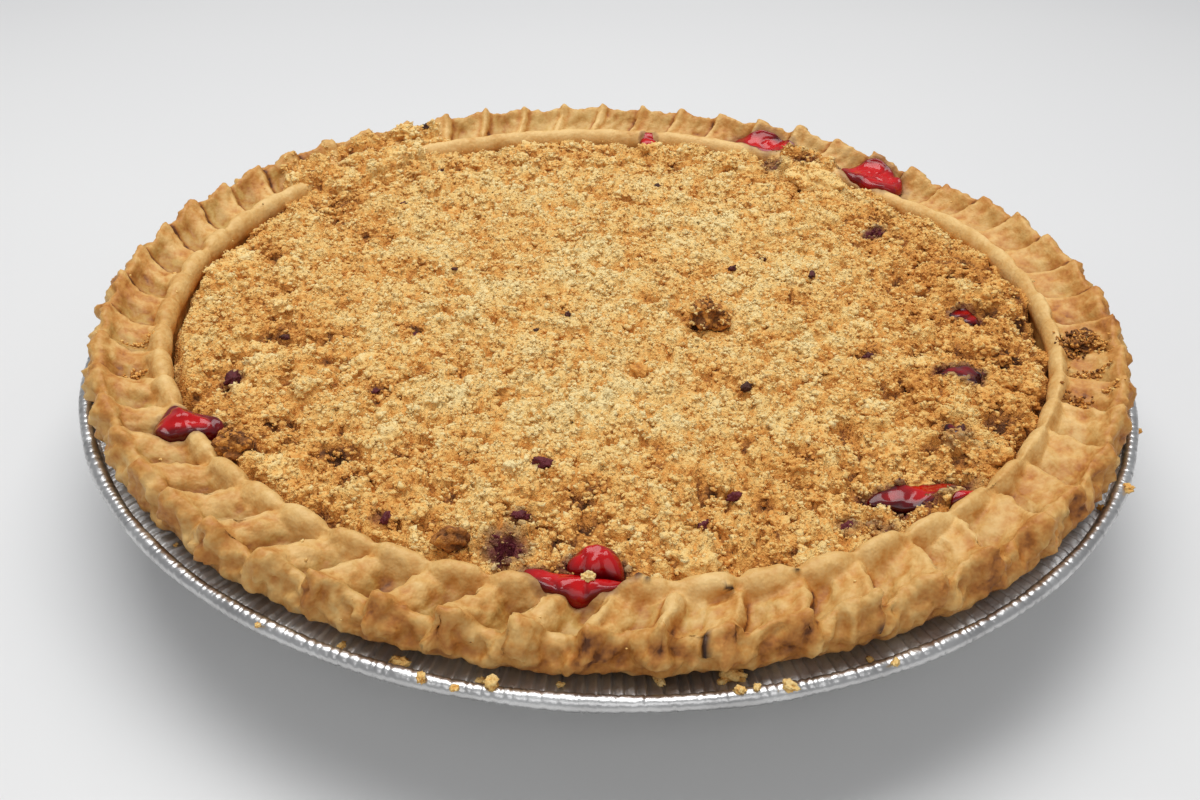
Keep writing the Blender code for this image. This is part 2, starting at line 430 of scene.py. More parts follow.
cherrySpots = {
    "cherry_left": {
        "outline": (
            (0, 8.6), (25, 6.0), (60, 4.8), (110, 4.8), (150, 6.0), (185, 7.0), (225, 6.0), (270, 4.6),
            (315, 5.6),
        ),
        "height": 3.6, "plump": 1.8, "dark": 0.15, "drape": 0.5, "sink": 2.2,
    },
    "cherry_front_back": {
        "outline": (
            (0, 5.0), (30, 4.2), (72, 3.6), (113, 3.4), (145, 4.0), (180, 5.4), (200, 5.6), (235, 3.8),
            (290, 3.4), (327, 6.2), (345, 5.6),
        ),
        "height": 4.0, "plump": 2.6, "dark": 0.05, "drape": 0.2, "sink": 1.0, "shift": (-0.4, -0.9),
        "lean": (0.16, 0.24),
    },
    "cherry_front_edge": {
        "outline": (
            (5, 10.8), (13, 8.0), (22, 5.2), (49, 2.8), (90, 2.6), (125, 3.4), (146, 6.2), (156, 11.0),
            (166, 9.6), (182, 7.0), (205, 4.8), (244, 3.4), (283, 4.0), (311, 4.4), (340, 5.8), (355, 8.8),
        ),
        "height": 1.7, "plump": 2.4, "dark": 0.05, "drape": 0.6, "sink": 1.2, "shift": (0, 1.4),
    },
    "cherry_right_long": {
        "outline": (
            (18, 12.0), (35, 5.6), (75, 2.4), (130, 2.2), (180, 6.0), (197, 12.4), (215, 6.8), (245, 4.8),
            (275, 4.6), (310, 5.0), (345, 6.6),
        ),
        "height": 0.9, "plump": 1.8, "dark": 0.3, "drape": 0.6, "sink": 0.8,
    },
    "cherry_right_sunk": {
        "outline": (
            (0, 4.6), (50, 4.2), (100, 3.4), (150, 5.6), (175, 5.8), (215, 2.8), (265, 3.4), (300, 5.2),
            (335, 4.2),
        ),
        "height": 1.5, "plump": 1.8, "dark": 0.6, "drape": 0.5, "sink": 0.4,
    },
    "cherry_right_small": {
        "outline": ((0, 3.8), (60, 3.0), (120, 3.2), (165, 4.6), (220, 2.0), (290, 3.2)),
        "height": 1.5, "plump": 1.8, "dark": 0.5, "drape": 0.4, "sink": 0.4,
    },
    "cherry_back_right": {
        "outline": (
            (0, 7.6), (40, 7.2), (90, 7.4), (140, 10.6), (170, 8.0), (220, 6.2), (270, 7.0), (305, 10.8),
            (330, 10.4),
        ),
        "height": 2.8, "plump": 1.9, "dark": -0.1, "drape": 0.75, "sink": 2.0,
    },
    "cherry_back": {
        "outline": (
            (0, 6.6), (45, 5.0), (90, 5.6), (125, 7.6), (148, 12.6), (180, 8.4), (225, 6.4), (270, 6.8),
            (300, 7.6), (328, 14.0),
        ),
        "height": 2.0, "plump": 1.9, "dark": -0.05, "drape": 0.8, "sink": 1.6,
    },
    "cherry_back_small": {
        "outline": ((0, 2.6), (50, 3.2), (90, 4.8), (130, 3.4), (180, 2.6), (230, 3.4), (270, 5.0), (310, 3.4)),
        "height": 1.6, "plump": 2.2, "dark": 0.0, "drape": 0.7, "sink": 1.0,
    },
}
# Large lumps of crumb: half-sizes, turn, how toasted, how dark their specks are, and juice on them

lumpSpots = {
    "crumb_lump_middle": {
        "half": (4.6, 4.9, 3.9), "turn": 0, "toast": 0.93, "specks": 0.3, "stain": 0.0, "slot": "toasted_crumb",
    },
    "crumb_lump_left": {
        "half": (4.8, 3.9, 3.2), "turn": 10, "toast": 0.92, "specks": 0.3, "stain": 0.1,
        "slot": "toasted_crumb",
    },
    "crumb_lump_right": {
        "half": (4.2, 4.4, 2.4), "turn": 0, "toast": 0.97, "specks": 0.25, "stain": 0.0,
        "slot": "toasted_crumb",
    },
    "crumb_lump_back": {
        "half": (8.6, 5.6, 3.8), "turn": -36, "toast": 0.3, "specks": 0.1, "stain": 0.0, "slot": "crumb",
    },
}
for nodeName, spot in {**cherrySpots, **lumpSpots}.items():
    low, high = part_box(nodeName)
    spot["place"] = np.array((low + high) / 2) / mm
    spot["place"][:2] += spot.get("shift", (0, 0))


def outlineRadius(angles, outline):
    # a smooth closed outline through (angle, radius) pairs
    steps = np.arange(0, 360, 3)
    radii = aroundTable(np.radians(steps), outline)
    for _ in range(3):
        radii = (np.roll(radii, 1) + radii + np.roll(radii, -1)) / 3
    return aroundTable(angles, np.stack([steps, radii], 1))


def spotShare(x, y, spot):
    # 0 at the middle of a cherry and 1 at its outline
    dx, dy = x - spot["place"][0], y - spot["place"][1]
    return np.hypot(dx, dy) / outlineRadius(np.arctan2(dy, dx), spot["outline"])


# Colour fields over the pie: how toasted each place is, with painted shade from side to side, and how stained
# with juice

tones = {
    "middleToast": 0.26,
    "edgeToast": 0.36,
    # painted shade by side: darker on the right and front right, paler at the back
    "sideShade": ((0, 0.15), (60, 0.02), (90, -0.03), (150, 0.03), (200, 0.05), (270, 0.04), (320, 0.12)),
    "toastSpots": (  # x, y, radius, amount
        (7.4, 21.0, 6, 0.2), (-28.8, -96.1, 4, 0.35), (-57.5, -67.9, 4, 0.4), (-75.8, -20.5, 5, 0.42),
        (-76.1, 52.5, 5, 0.35), (66.2, -35.0, 5.5, 0.42), (47.0, -0.9, 5, 0.25), (-29.3, 11.2, 5, 0.28),
        (-47.1, -17.6, 3.5, 0.4), (-52.0, -43.8, 3.5, 0.35), (60.4, -23.2, 4, 0.35), (0.3, 14.1, 5, 0.2),
        (-87.7, 16.6, 4, 0.3), (-42.2, -87.0, 5, 0.25), (24.2, 16.0, 4, 0.25), (-64.0, 30.0, 6, 0.2),
        (88.0, -24.0, 9, 0.14), (92.0, -45.0, 7, 0.14), (8.0, 52.0, 5, 0.2), (-38.0, -30.0, 7, 0.1),
        (30.0, -34.0, 9, 0.1), (-52.0, 12.0, 7, 0.1), (88.0, 22.0, 8, 0.2), (74.0, 52.0, 6, 0.15),
    ),
    "paleSpots": (
        (0.1, 12.2, 9, 0.25), (20.0, 40.0, 16, 0.14), (-10.0, -50.0, 15, 0.12), (-30.0, 60.0, 15, 0.08),
    ),
    "stainSpots": (
        (-19.1, -94.3, 5.5, 1.0), (-16.9, -86.5, 3.5, 0.8), (-28.0, -93.0, 3.5, 0.45), (-84.5, -40.6, 3.4, 1.0),
        (72.8, 40.7, 4.2, 1.0), (74.4, -54.9, 4.0, 0.9), (46.6, -85.2, 3.5, 0.8), (53.4, -84.0, 4.5, 0.7),
        (60.5, -24.8, 2.5, 0.7), (-44.0, -88.0, 3.0, 0.6), (58.5, 86.0, 5.0, 0.8), (78.0, -60.0, 3.0, 0.5),
        (48.5, 86.0, 4.5, 0.9),
    ),
    "juiceReach": 2.6,
    "patches": ((21, 0.09, 3), (7, 0.14, 4), (2.8, 0.1, 5)),  # size, amount and seed
}


def toastAndSideShadeAt(points):
    x, y = points[:, 0], points[:, 1]
    radius, angle = np.hypot(x, y), np.arctan2(y, x)
    toast = mixed(tones["middleToast"], tones["edgeToast"], smoothStep(50, 104, radius))
    # painted shade that differs from side to side
    toast = toast + aroundTable(angle, tones["sideShade"]) * smoothStep(40, 100, radius)
    toast = addNoises(toast, onFlat(x, y), tones["patches"])
    for spot in lumpSpots.values():
        if spot["toast"] > 0.5:
            middle, half = spot["place"], spot["half"]
            share = np.hypot((x - middle[0]) / half[0], (y - middle[1]) / half[1])
            toast = mixed(toast, spot["toast"], 1 - smoothStep(0.85, 1.15, share))
    for group, sign in ((tones["toastSpots"], 1), (tones["paleSpots"], -1)):
        for *place, amount in group:
            toast = toast + sign * amount * spotFade(x, y, *place)
    return toast


def stainAt(points):
    x, y = points[:, 0], points[:, 1]
    stain = np.zeros(len(x))
    for *place, amount in tones["stainSpots"]:
        stain = np.maximum(stain, amount * spotFade(x, y, *place, 1.5))
    for spot in cherrySpots.values():
        apart = (spotShare(x, y, spot) - 1) * 4.5
        stain = np.maximum(stain, 0.8 * (1 - smoothStep(0, tones["juiceReach"], apart)))
    return stain


print("shared shapes and colour fields ready")


# Pastry: the fluted rim, made ring by ring from the roll to the bottom edge

crust = {
    "columnsPerFlute": 26,
    "rows": 62,
    "unevenness": 0.12,
    "tone": 0.3,
    "ridgeTone": 0.12,
    "lipTone": 0.14,
    "baseTone": 0.3,
    "hiddenTone": 0.4,
    "toneNoise": ((19, 0.08, 21), (6, 0.14, 22)),  # size, amount and seed
    "patches": (330.0, 0.42, 1000.0, 0.45),  # scale and amount of the patches, then of the flecks
    "colours": (
        (0.0, (230, 192, 126)), (0.3, (216, 170, 100)), (0.52, (202, 144, 72)), (0.72, (184, 118, 50)),
        (0.9, (146, 88, 36)), (1.0, (104, 58, 24)),
    ),
    # painted shade: the tint that the bowls between the ridges are multiplied by
    "bowlShadeTint": (222, 222, 204),
    # painted shade: the colour inside the slits and cracks
    "crackShadeColour": (52, 26, 12),
    "grit": (700.0, 1900.0),
    "bump": (0.4, 0.0005),  # strength, and depth in metres
    # offset from the roll's inside, height in a panel, height on a ridge, lean, roughness, pinch
    "sections": (
        (0.4, -1.0, -1.0, 0, 0, 0),
        (0.7, 3.6, 3.6, 0, 0, 0),
        (-0.3, 5.8, 5.8, 0, 0.1, 0.5),
        (-0.5, 7.8, 7.9, 0, 0.1, 0.9),
        (0.3, 9.5, 9.7, 0, 0.1, 1),
        (1.9, 10.4, 10.6, 0, 0.1, 1),
        (3.4, 9.6, 10.0, 0, 0.1, 1),
        (4.3, 7.7, 9.2, 0.05, 0.2, 0.6),
        (4.9, 6.0, 9.0, 0.1, 0.3, 0),
        (5.9, 5.4, 9.2, 0.2, 0.4, 0),
        (7.9, 5.4, 9.9, 0.35, 0.4, 0),
        (10.2, 6.2, 11.1, 0.6, 0.4, 0),
        (12.2, 7.8, 12.8, 0.85, 0.4, 0),
        (13.6, 10.1, 14.3, 0.95, 0.45, 0),
        (14.5, 11.1, 15.1, 1, 0.5, 0),
        (15.6, 10.7, 14.3, 1.05, 0.7, 0),
        (16.9, 8.6, 11.4, 1.1, 1, 0),
        (17.5, 6.0, 7.2, 1.2, 1, 0),
        (17.2, 3.4, 3.8, 1.3, 1, 0),
        (16.3, 1.4, 1.6, 1.35, 1, 0),
        (15.0, 0.3, 0.3, 1.4, 0.8, 0),
        (13.0, -0.3, -0.3, 1.4, 0.3, 0),
        (9.4, -0.9, -0.9, 1.4, 0, 0),
    ),
    # along one flute from its crest to the next: share of the way, height at the front and left, at the right
    "profile": (
        (0, 1.0, 0.96), (0.04, 0.97, 0.84), (0.08, 0.95, 0.36), (0.12, 0.92, 0.08), (0.24, 0.84, 0.0),
        (0.36, 0.55, 0.14), (0.48, 0.22, 0.32), (0.62, 0.04, 0.52), (0.86, 0.0, 0.84), (0.91, 0.22, 0.92),
        (0.955, 0.75, 0.97), (1, 1.0, 0.96),
    ),
    # by angle: 0 where the flutes have the first of these profiles and 1 where they have the second
    "turned": ((0, 1), (60, 1), (100, 0.5), (140, 0), (266, 0), (280, 1)),
    # by angle: how far the flutes are nudged, the painted shade on the panels and on the outside, how narrow
    # the roll is
    "nudge": ((0, 0.1), (20, 0), (310, 0), (325, 1.4), (332, 2.2), (338, 1.5), (350, 0.7)),
    "panelSideShade": ((0, 0.15), (40, 0.07), (80, 0), (200, 0.02), (270, 0), (300, -0.02), (330, 0.08)),
    "outerFaceShade": ((180, 0.07), (245, 0.07), (268, 0.26), (285, 0.26), (320, 0.24), (345, 0.12)),
    "narrow": ((0, 0.9), (25, 0.7), (45, 0), (290, 0), (325, 0.9)),
    # how much each ridge pinches the roll, how far its end stands out, and how low the lip hangs
    "pinch": (
        (0, 0.8), (30, 0.5), (60, 0.3), (120, 0.3), (150, 0.6), (165, 1.3), (215, 1.6), (240, 1.4), (300, 1.4),
        (325, 1.1), (345, 1.0),
    ),
    "knobs": ((0, 0.6), (60, 0.5), (120, 0.4), (200, 0.6), (235, 2.0), (300, 2.2), (330, 1.2)),
    "lipDrop": ((0, 0.3), (60, 0.0), (120, 0.0), (180, 0.6), (210, 2.0), (240, 3.0), (300, 3.0), (330, 2.0)),
    # how high the ridges stand over the panels
    "ridges": (
        (0, 0.66), (45, 0.56), (60, 0.62), (90, 0.66), (120, 0.6), (150, 0.5), (165, 0.45), (200, 0.6),
        (240, 1.05), (270, 1.05), (290, 1.05), (320, 1.0), (340, 0.8),
    ),
    # how much paler the roll is, and how uneven the surface
    "paleRoll": ((0, 0.06), (50, 0.12), (90, 0.16), (140, 0.1), (180, 0.0), (300, 0.0), (340, 0.04)),
    "wild": ((0, 0.25), (60, 0.15), (120, 0.15), (165, 0.25), (210, 0.4), (240, 0.65), (310, 0.7), (340, 0.35)),
    # rings that close it inside the pan: radius and height
    "hidden": ((113.4, 28.6), (94.2, 2.4), (92.6, 1.5), (80.2, 1.5), (78.2, 2.7)),
    # cracks down the outside: angle, offsets and heights between which it runs, depth, half-width, waviness
    "cracks": (
        (-81.5, (14.0, 20.0), (34.0, 42.5), 2.8, 1.5, 0.8),
        (-66.6, (14.0, 20.0), (34.0, 40.0), 1.2, 0.6, 2.4),
    ),
    # small slits on the roll: angle, offset, half-length, depth
    "slits": ((-86.5, 1.6, 1.5, 1.1), (-78.3, 3.9, 1.2, 1.2), (-71.0, 2.6, 0.9, 0.9)),
}


def rimValue(name, angle):
    # one of the crust's tables at these angles
    return aroundTable(angle, crust[name])


def ridgeShare(phase, turned):
    # 1 on a crest; on one side the panel falls away slowly and on the other it drops at once
    way, usual, other = np.array(crust["profile"]).T
    return mixed(np.interp(phase, way, usual), np.interp(phase, way, other), turned)


def crustGrid(random):
    # the rim's points, with how far each is on a ridge, how rough it is and its offset from the roll
    position = np.arange(rim["flutes"] * crust["columnsPerFlute"]) / crust["columnsPerFlute"]
    table = smoothTable(crust["sections"], crust["rows"])
    offset, panel, ridge, slant, roughness, pinch = (table[:, i][:, None] for i in range(6))
    phase = position % 1
    share = ridgeShare(phase, rimValue("turned", fluteAngle(position)))[None]
    nearest = np.round(position)
    uneven = crust["unevenness"] * random.uniform(-1, 1, rim["flutes"] + 1)[nearest.astype(int)]
    size = (1 + rim["unevenness"] * np.sin(2.4 * nearest) + uneven)[None]
    angle = fluteAngle(position)[None] - rim["slant"] * (1 - slant)
    angle = angle + np.radians(rimValue("nudge", angle))
    amount = rimValue("ridges", angle)
    height = panel + (ridge - panel) * (share * size * amount + 0.35 * (1 - amount))
    # the roll is pinched where each ridge meets it
    apart = np.minimum(phase, 1 - phase)[None]
    squeeze = pinch * np.exp(-((apart / 0.17) ** 2)) * rimValue("pinch", angle)
    radius = rim["rollRadius"] + offset - squeeze * (offset - 2.0) * 0.25
    onRoll = smoothStep(1.0, 4.0, offset)
    radius = radius - rimValue("narrow", angle) * onRoll * (1 - smoothStep(6, 10, offset))
    # ridge ends stand out as knobs, most at the front, where the lip also hangs lower
    knob = (0.5 + 0.5 * np.cos(math.tau * (phase - 0.06)))[None] * size
    outside = smoothStep(11.0, 15.0, offset) * smoothStep(2.5, 8.0, panel)
    radius = radius + outside * (knob - 0.5) * rimValue("knobs", angle)
    height = height + 0.45 * outside * (knob - 0.5) * rimValue("knobs", angle)
    lower = smoothStep(5.5, 13.5, offset) * np.clip(panel / 8, 0, 1)
    height = height - squeeze * 0.9 - rimValue("lipDrop", angle) * lower
    height = height + rimRise(angle, height)
    radius = radius + rimStretch(angle)
    grid = np.stack([radius * np.cos(angle), radius * np.sin(angle), beadHeight + height], -1)
    return grid, share + 0 * height, roughness + 0 * height, offset + 0 * height, angle


def roughenCrust(grid, roughness, offset, angle):
    # pushes the surface in and out, craggy outside and gentle on top, and cuts the slits and cracks, which it
    # marks for painted shade
    smooth, normals = grid, gridNormals(grid)
    lumps, small, fine = (noiseAt(smooth, *layer) for layer in ((5.0, 12), (2.2, 14), (1.1, 15)))
    near = cellsAt(smooth, 3.2, 13)[0]
    torn = smoothStep(0.5, 1.0, roughness)
    low = 1 - smoothStep(0.5, 6.0, smooth[..., 2] - beadHeight)
    body = (1 - torn) * np.clip(roughness * 2.5, 0, 1)
    wildness = rimValue("wild", angle)
    coarse = noiseAt(smooth, 9.0, 11)
    push = mixed(0.25, 0.45, wildness) * coarse * np.clip(roughness * 3, 0.35, 1)
    upright = noiseAt(smooth * (1, 1, 0.35), 1.9, 16)
    ragged = 0.5 - np.abs(noiseAt(smooth, 4.2, 17))
    crags = 0.9 * lumps + (0.45 - near) + 1.1 * ragged + 0.7 * small + 0.4 * upright + 0.32 * fine
    push = push + torn * (1 - 0.65 * low) * crags
    gentle = mixed(0.15, 0.4, wildness) * lumps + mixed(0.2, 0.35, wildness) * small + 0.2 * fine
    push = push + body * gentle
    push = push + 0.1 * smoothStep(0, 2, offset) * small
    wild = wildness * smoothStep(-0.5, 1.5, offset) * smoothStep(31, 34, smooth[..., 2])
    push = push + wild * (0.75 * noiseAt(smooth, 8.5, 18) + 0.35 * noiseAt(smooth, 3.6, 19))
    grid = grid + normals * push[..., None]
    inward = gridNormals(grid)
    for _ in range(12):
        inward = inward + np.roll(inward, 1, 1) + np.roll(inward, -1, 1)
        inward = inward / np.linalg.norm(inward, axis=2, keepdims=True)
    # painted shade: how far each place lies inside a slit or crack
    dark = np.zeros(roughness.shape)
    for turn, out, half, depth in crust["slits"]:
        along = turnFrom(angle, math.radians(turn)) * (rim["rollRadius"] + offset)
        groove = np.exp(-(((offset - out - 0.25 * along) / 0.42) ** 2) - (along / half) ** 4)
        grid = grid - inward * (groove * depth)[..., None]
        dark = np.maximum(dark, smoothStep(0.3, 0.8, groove))
    for turn, (start, end), (bottom, top), depth, width, waviness in crust["cracks"]:
        wave = waviness * 0.35 * noiseAt(smooth, 3.5, turn)
        distance = turnFrom(angle, math.radians(turn)) * (rim["rollRadius"] + offset) + wave
        inside = smoothStep(start, start + 1, offset) * smoothStep(0, 2, grid[..., 2] - bottom)
        inside = inside * smoothStep(0, 3, top - grid[..., 2]) * (offset < end)
        groove = np.exp(-((distance / width) ** 2)) * inside
        grid = grid - inward * (groove * depth)[..., None]
        dark = np.maximum(dark, smoothStep(0.35, 0.9, groove))
    return grid, push, dark


def sinkUnderSpots(grid):
    # lowers the rim below each cherry that lies over it
    x, y = grid[..., 0], grid[..., 1]
    for spot in cherrySpots.values():
        share = 1 - smoothStep(0.75, 1.1, spotShare(x, y, spot))
        grid[..., 2] -= spot["sink"] * share * (grid[..., 2] > 33)
    return grid


def hollows(grid, reach):
    # above 0 where the surface lies lower than its surroundings, and below 0 where it stands out
    blurred = grid[..., 2]
    for _ in range(reach):
        padded = np.pad(blurred, ((1, 1), (0, 0)), mode="edge")
        blurred = (padded[:-2] + padded[2:] + np.roll(blurred, 1, 1) + np.roll(blurred, -1, 1) + blurred) / 5
    return blurred - grid[..., 2]


def bakedToneAndShade(grid, share, roughness, offset, push, angle):
    # how dark the rim is baked, with painted shade in hollows, creases and bowls, on the outer face and on the
    # right-hand panels, and a painted highlight on the crests; and how much it lies in the bowls between the
    # ridges
    hollow = hollows(grid, 8) * (offset < 14)
    onPanels = smoothStep(4.6, 6.2, offset)
    lip = np.exp(-(((offset - 14.6) / 1.6) ** 2)) * (grid[..., 2] > 38)
    base = (1 - smoothStep(4.0, 8.0, grid[..., 2] - beadHeight)) * (offset < 3)
    tone = crust["tone"] + crust["ridgeTone"] * share**2 * onPanels
    tone = tone + crust["lipTone"] * lip + crust["baseTone"] * base
    tone = tone - rimValue("paleRoll", angle) * (1 - 0.35 * onPanels)
    # painted shade on the outside of the rim, darkest at the front
    tone = tone + rimValue("outerFaceShade", angle) * smoothStep(0.6, 1, roughness)
    # painted highlight along the crests and painted shade in the creases between them
    crest = share - 0.5 * (np.roll(share, 3, 1) + np.roll(share, -3, 1))
    edges = -0.4 * np.clip(crest, 0, 0.4) - 1.1 * np.clip(crest, -0.4, 0)
    tone = tone + onPanels * (1 - smoothStep(14, 16, offset)) * edges
    tone = addNoises(tone, grid, crust["toneNoise"])
    # painted shade on the panels, darkest on the right
    tone = tone + rimValue("panelSideShade", angle) * onPanels
    tone = tone + 0.15 * noiseAt(grid, 2.4, 23) * mixed(0.3, 1, onPanels)
    # painted shade where the surface lies lower than around it, and painted light where it stands out near the
    # roll
    tone = tone + 0.5 * np.clip(hollow, 0, 0.8) - 0.12 * np.clip(-hollow, 0, 0.6) * (offset < 6)
    # painted shade: a greyer, darker tint in the bowls between the ridges
    across = smoothStep(4.6, 6.0, offset) * (1 - smoothStep(12.5, 15.5, offset))
    bowlShade = across * (1 - smoothStep(0.25, 0.7, share)) * mixed(1, 0.45, rimValue("turned", angle))
    return tone + 0.12 * np.clip(push, -1, 1), bowlShade


def pastryLook():
    look, tree, shader = newLook("baked pastry", Roughness=0.52, Specular_IOR_Level=0.35)
    colour = mottledColour(tree, "tone", crust["patches"], crust["colours"])
    # painted shade in the bowls
    colour = addMix(tree, fieldValue(tree, "bowlShade"), colour, srgb(*crust["bowlShadeTint"]), "MULTIPLY")
    # painted shade inside the slits and cracks
    colour = addMix(tree, fieldValue(tree, "dark"), colour, srgb(*crust["crackShadeColour"]))
    linkLook(tree, shader, stainedColour(tree, colour), gritHeight(tree, *crust["grit"]), crust["bump"])
    return look


def makeCrust():
    grid, share, roughness, offset, angle = crustGrid(np.random.default_rng(11))
    grid, push, dark = roughenCrust(grid, roughness, offset, angle)
    grid = sinkUnderSpots(grid)
    tone, bowlShade = bakedToneAndShade(grid, share, roughness, offset, push, angle)
    rows, columns = share.shape
    points = grid.reshape(-1, 3)
    x, y = np.cos(angle[-1]), np.sin(angle[-1])
    hidden = [np.stack([r * x, r * y, np.full(columns, h)], 1) for r, h in crust["hidden"]]
    poles = [(0, 0, crust["hidden"][-1][1]), (0, 0, points[:columns, 2].mean())]
    allPoints = np.concatenate([points, *hidden, poles])
    faces = closedFaces(rows + len(hidden), columns, len(allPoints) - 1, len(allPoints) - 2, True)
    fields = {"tone": tone, "dark": dark, "bowlShade": bowlShade, "stain": stainAt(points) * 0.8}
    for field, values in fields.items():
        fields[field] = np.pad(values.ravel(), (0, len(allPoints) - len(points)))
    fields["tone"][len(points):] = crust["hiddenTone"]
    piece = addPiece("piePastry", allPoints, faces, pastryLook(), fields)
    keep(piece, "pastry", "pie_crust")
    return points


crustPoints = makeCrust()
print("pastry rim made")


# Crumb topping: a core with relief, then clumps, pieces, bits and grains of crumb on it

crumbs = {
    "divisions": 296,
    "edgeRadius": 105.3,
    "edgeHeight": 37.2,
    "dome": 2.2,
    "lumps": 1.5,
    "lumpWidth": 17,
    # the relief, from coarse to fine: size, height of the domes, of the steps and of the gaps, then
    # how much the tone changes from step to step, and how much painted shade lies in the gaps
    "clumps": (
        (7.5, 1.9, 0.8, 0.8, 0.12, 0.1), (3.4, 1.5, 0.6, 0.55, 0.14, 0.2), (1.6, 0.8, 0.35, 0.2, 0.1, 0.12),
    ),
    "patches": (420.0, 0.16, 1800.0),
    "colours": (
        (0.0, (244, 220, 160)), (0.3, (239, 199, 124)), (0.52, (230, 172, 91)), (0.7, (207, 139, 62)),
        (0.86, (150, 93, 42)), (1.0, (92, 55, 28)),
    ),
    "grit": (1300.0, 3200.0),
    "bumpDepth": 0.0012,
    "mounds": 1.0,
    "moundSpots": (
        (41.5, 92.0, 6, 1.6), (56.0, 78.0, 8, 1.2), (76.0, 54.0, 7, 1.2), (90.0, 20.0, 7, 1.2),
        (86.0, -36.0, 6, 1.0), (78.0, -60.0, 4, 1.2),
    ),
    "bottom": 29.3,
    "skirt": 5,
    "shake": 0.2,
    "cherryDip": 1.2,
    "stainDip": 1.6,
    "burntTone": 0.72,
    "variants": 24,
    "coarseEdge": ((0, 1.0), (90, 1.0), (110, 0.6), (200, 0.5), (250, 0.5), (290, 0.7), (320, 1.0)),
    "gapBesideRoll": (
        (0, 0.6), (25, 0.9), (60, 0.4), (110, -0.3), (150, -0.1), (162, 1.6), (200, 2.0), (215, 1.4),
        (240, 0.5), (300, 0.5), (330, 0.8),
    ),
    "gapWidth": 3.4,
    "gapDepth": 2.4,
}


def discPlaces(divisions):
    # a square grid folded to a disc of radius 1, with even spacing
    line = np.linspace(-1, 1, divisions + 1)
    a, b = np.meshgrid(line, line, indexing="ij")
    wide = np.abs(a) > np.abs(b)
    radius = np.where(wide, a, b)
    safe = np.where(np.abs(radius) < 1e-9, 1, radius)
    turn = np.where(wide, math.pi / 4 * b / safe, math.pi / 2 - math.pi / 4 * a / safe)
    return (radius * np.cos(turn)).ravel(), (radius * np.sin(turn)).ravel()


def crumbHeight(x, y):
    # the same slow rise and fall as the part has
    share = np.minimum(np.hypot(x, y) / rim["rollRadius"], 1)
    places = (onFlat(x, y) * mm / (crumbs["lumpWidth"] * mm)).tolist()
    lumps = np.array([noise.noise(place, noise_basis="PERLIN_ORIGINAL") for place in places])
    return crumbs["edgeHeight"] + crumbs["dome"] * (1 - share**3) + crumbs["lumps"] * lumps


def coarseShare(x, y):
    # 0 where the crumbs are fine and 1 where they lie in big clumps
    radius, angle = np.hypot(x, y), np.arctan2(y, x)
    return smoothStep(62, 96, radius) * aroundTable(angle, crumbs["coarseEdge"])


def coreRelief(x, y):
    # crumbs stuck together in rounded clumps, with steps and gaps between them, and their tones with painted
    # shade in the gaps
    flat = onFlat(x, y)
    inCoarse = coarseShare(x, y)
    warp = onFlat(noiseAt(flat, 2.6, 31), noiseAt(flat, 2.6, 32))
    relief = crumbs["mounds"] * noiseAt(flat, 11, 39) * mixed(0.6, 1.9, inCoarse)
    for *place, rise in crumbs["moundSpots"]:
        relief = relief + rise * spotFade(x, y, *place)
    tone = np.zeros(len(x))
    for level, (size, dome, step, gap, stepTone, gapShade) in enumerate(crumbs["clumps"]):
        near, second, mark = cellsAt(flat + 0.16 * size * warp, size, 33 + level)
        ball = np.sqrt(np.clip(1 - (near / 0.74) ** 2, 0, 1))
        share = 1 if level else mixed(0.5, 1.1, inCoarse)
        relief = relief + (dome * (ball - 0.6) + step * (mark - 0.5)) * share
        relief = relief - gap * np.exp(-(((second - near) / 0.11) ** 2)) * share
        # random tone from step to step, and painted shade in the gaps between the clumps
        tone = tone + ((mark - 0.5) * stepTone + (1 - ball) * gapShade) * share
    return relief + 0.2 * noiseAt(flat, 1.2, 38), tone


def crumbLook(name, flecks, bumpStrength):
    look, tree, shader = newLook(name, Roughness=0.72, Specular_IOR_Level=0.25)
    colour = mottledColour(tree, "tone", (*crumbs["patches"], flecks), crumbs["colours"])
    height = gritHeight(tree, *crumbs["grit"])
    linkLook(tree, shader, stainedColour(tree, colour), height, (bumpStrength, crumbs["bumpDepth"]))
    return look


coreLook = crumbLook("crumb core", 0.4, 0.68)
grainLook = crumbLook("loose crumb", 0.28, 0.5)


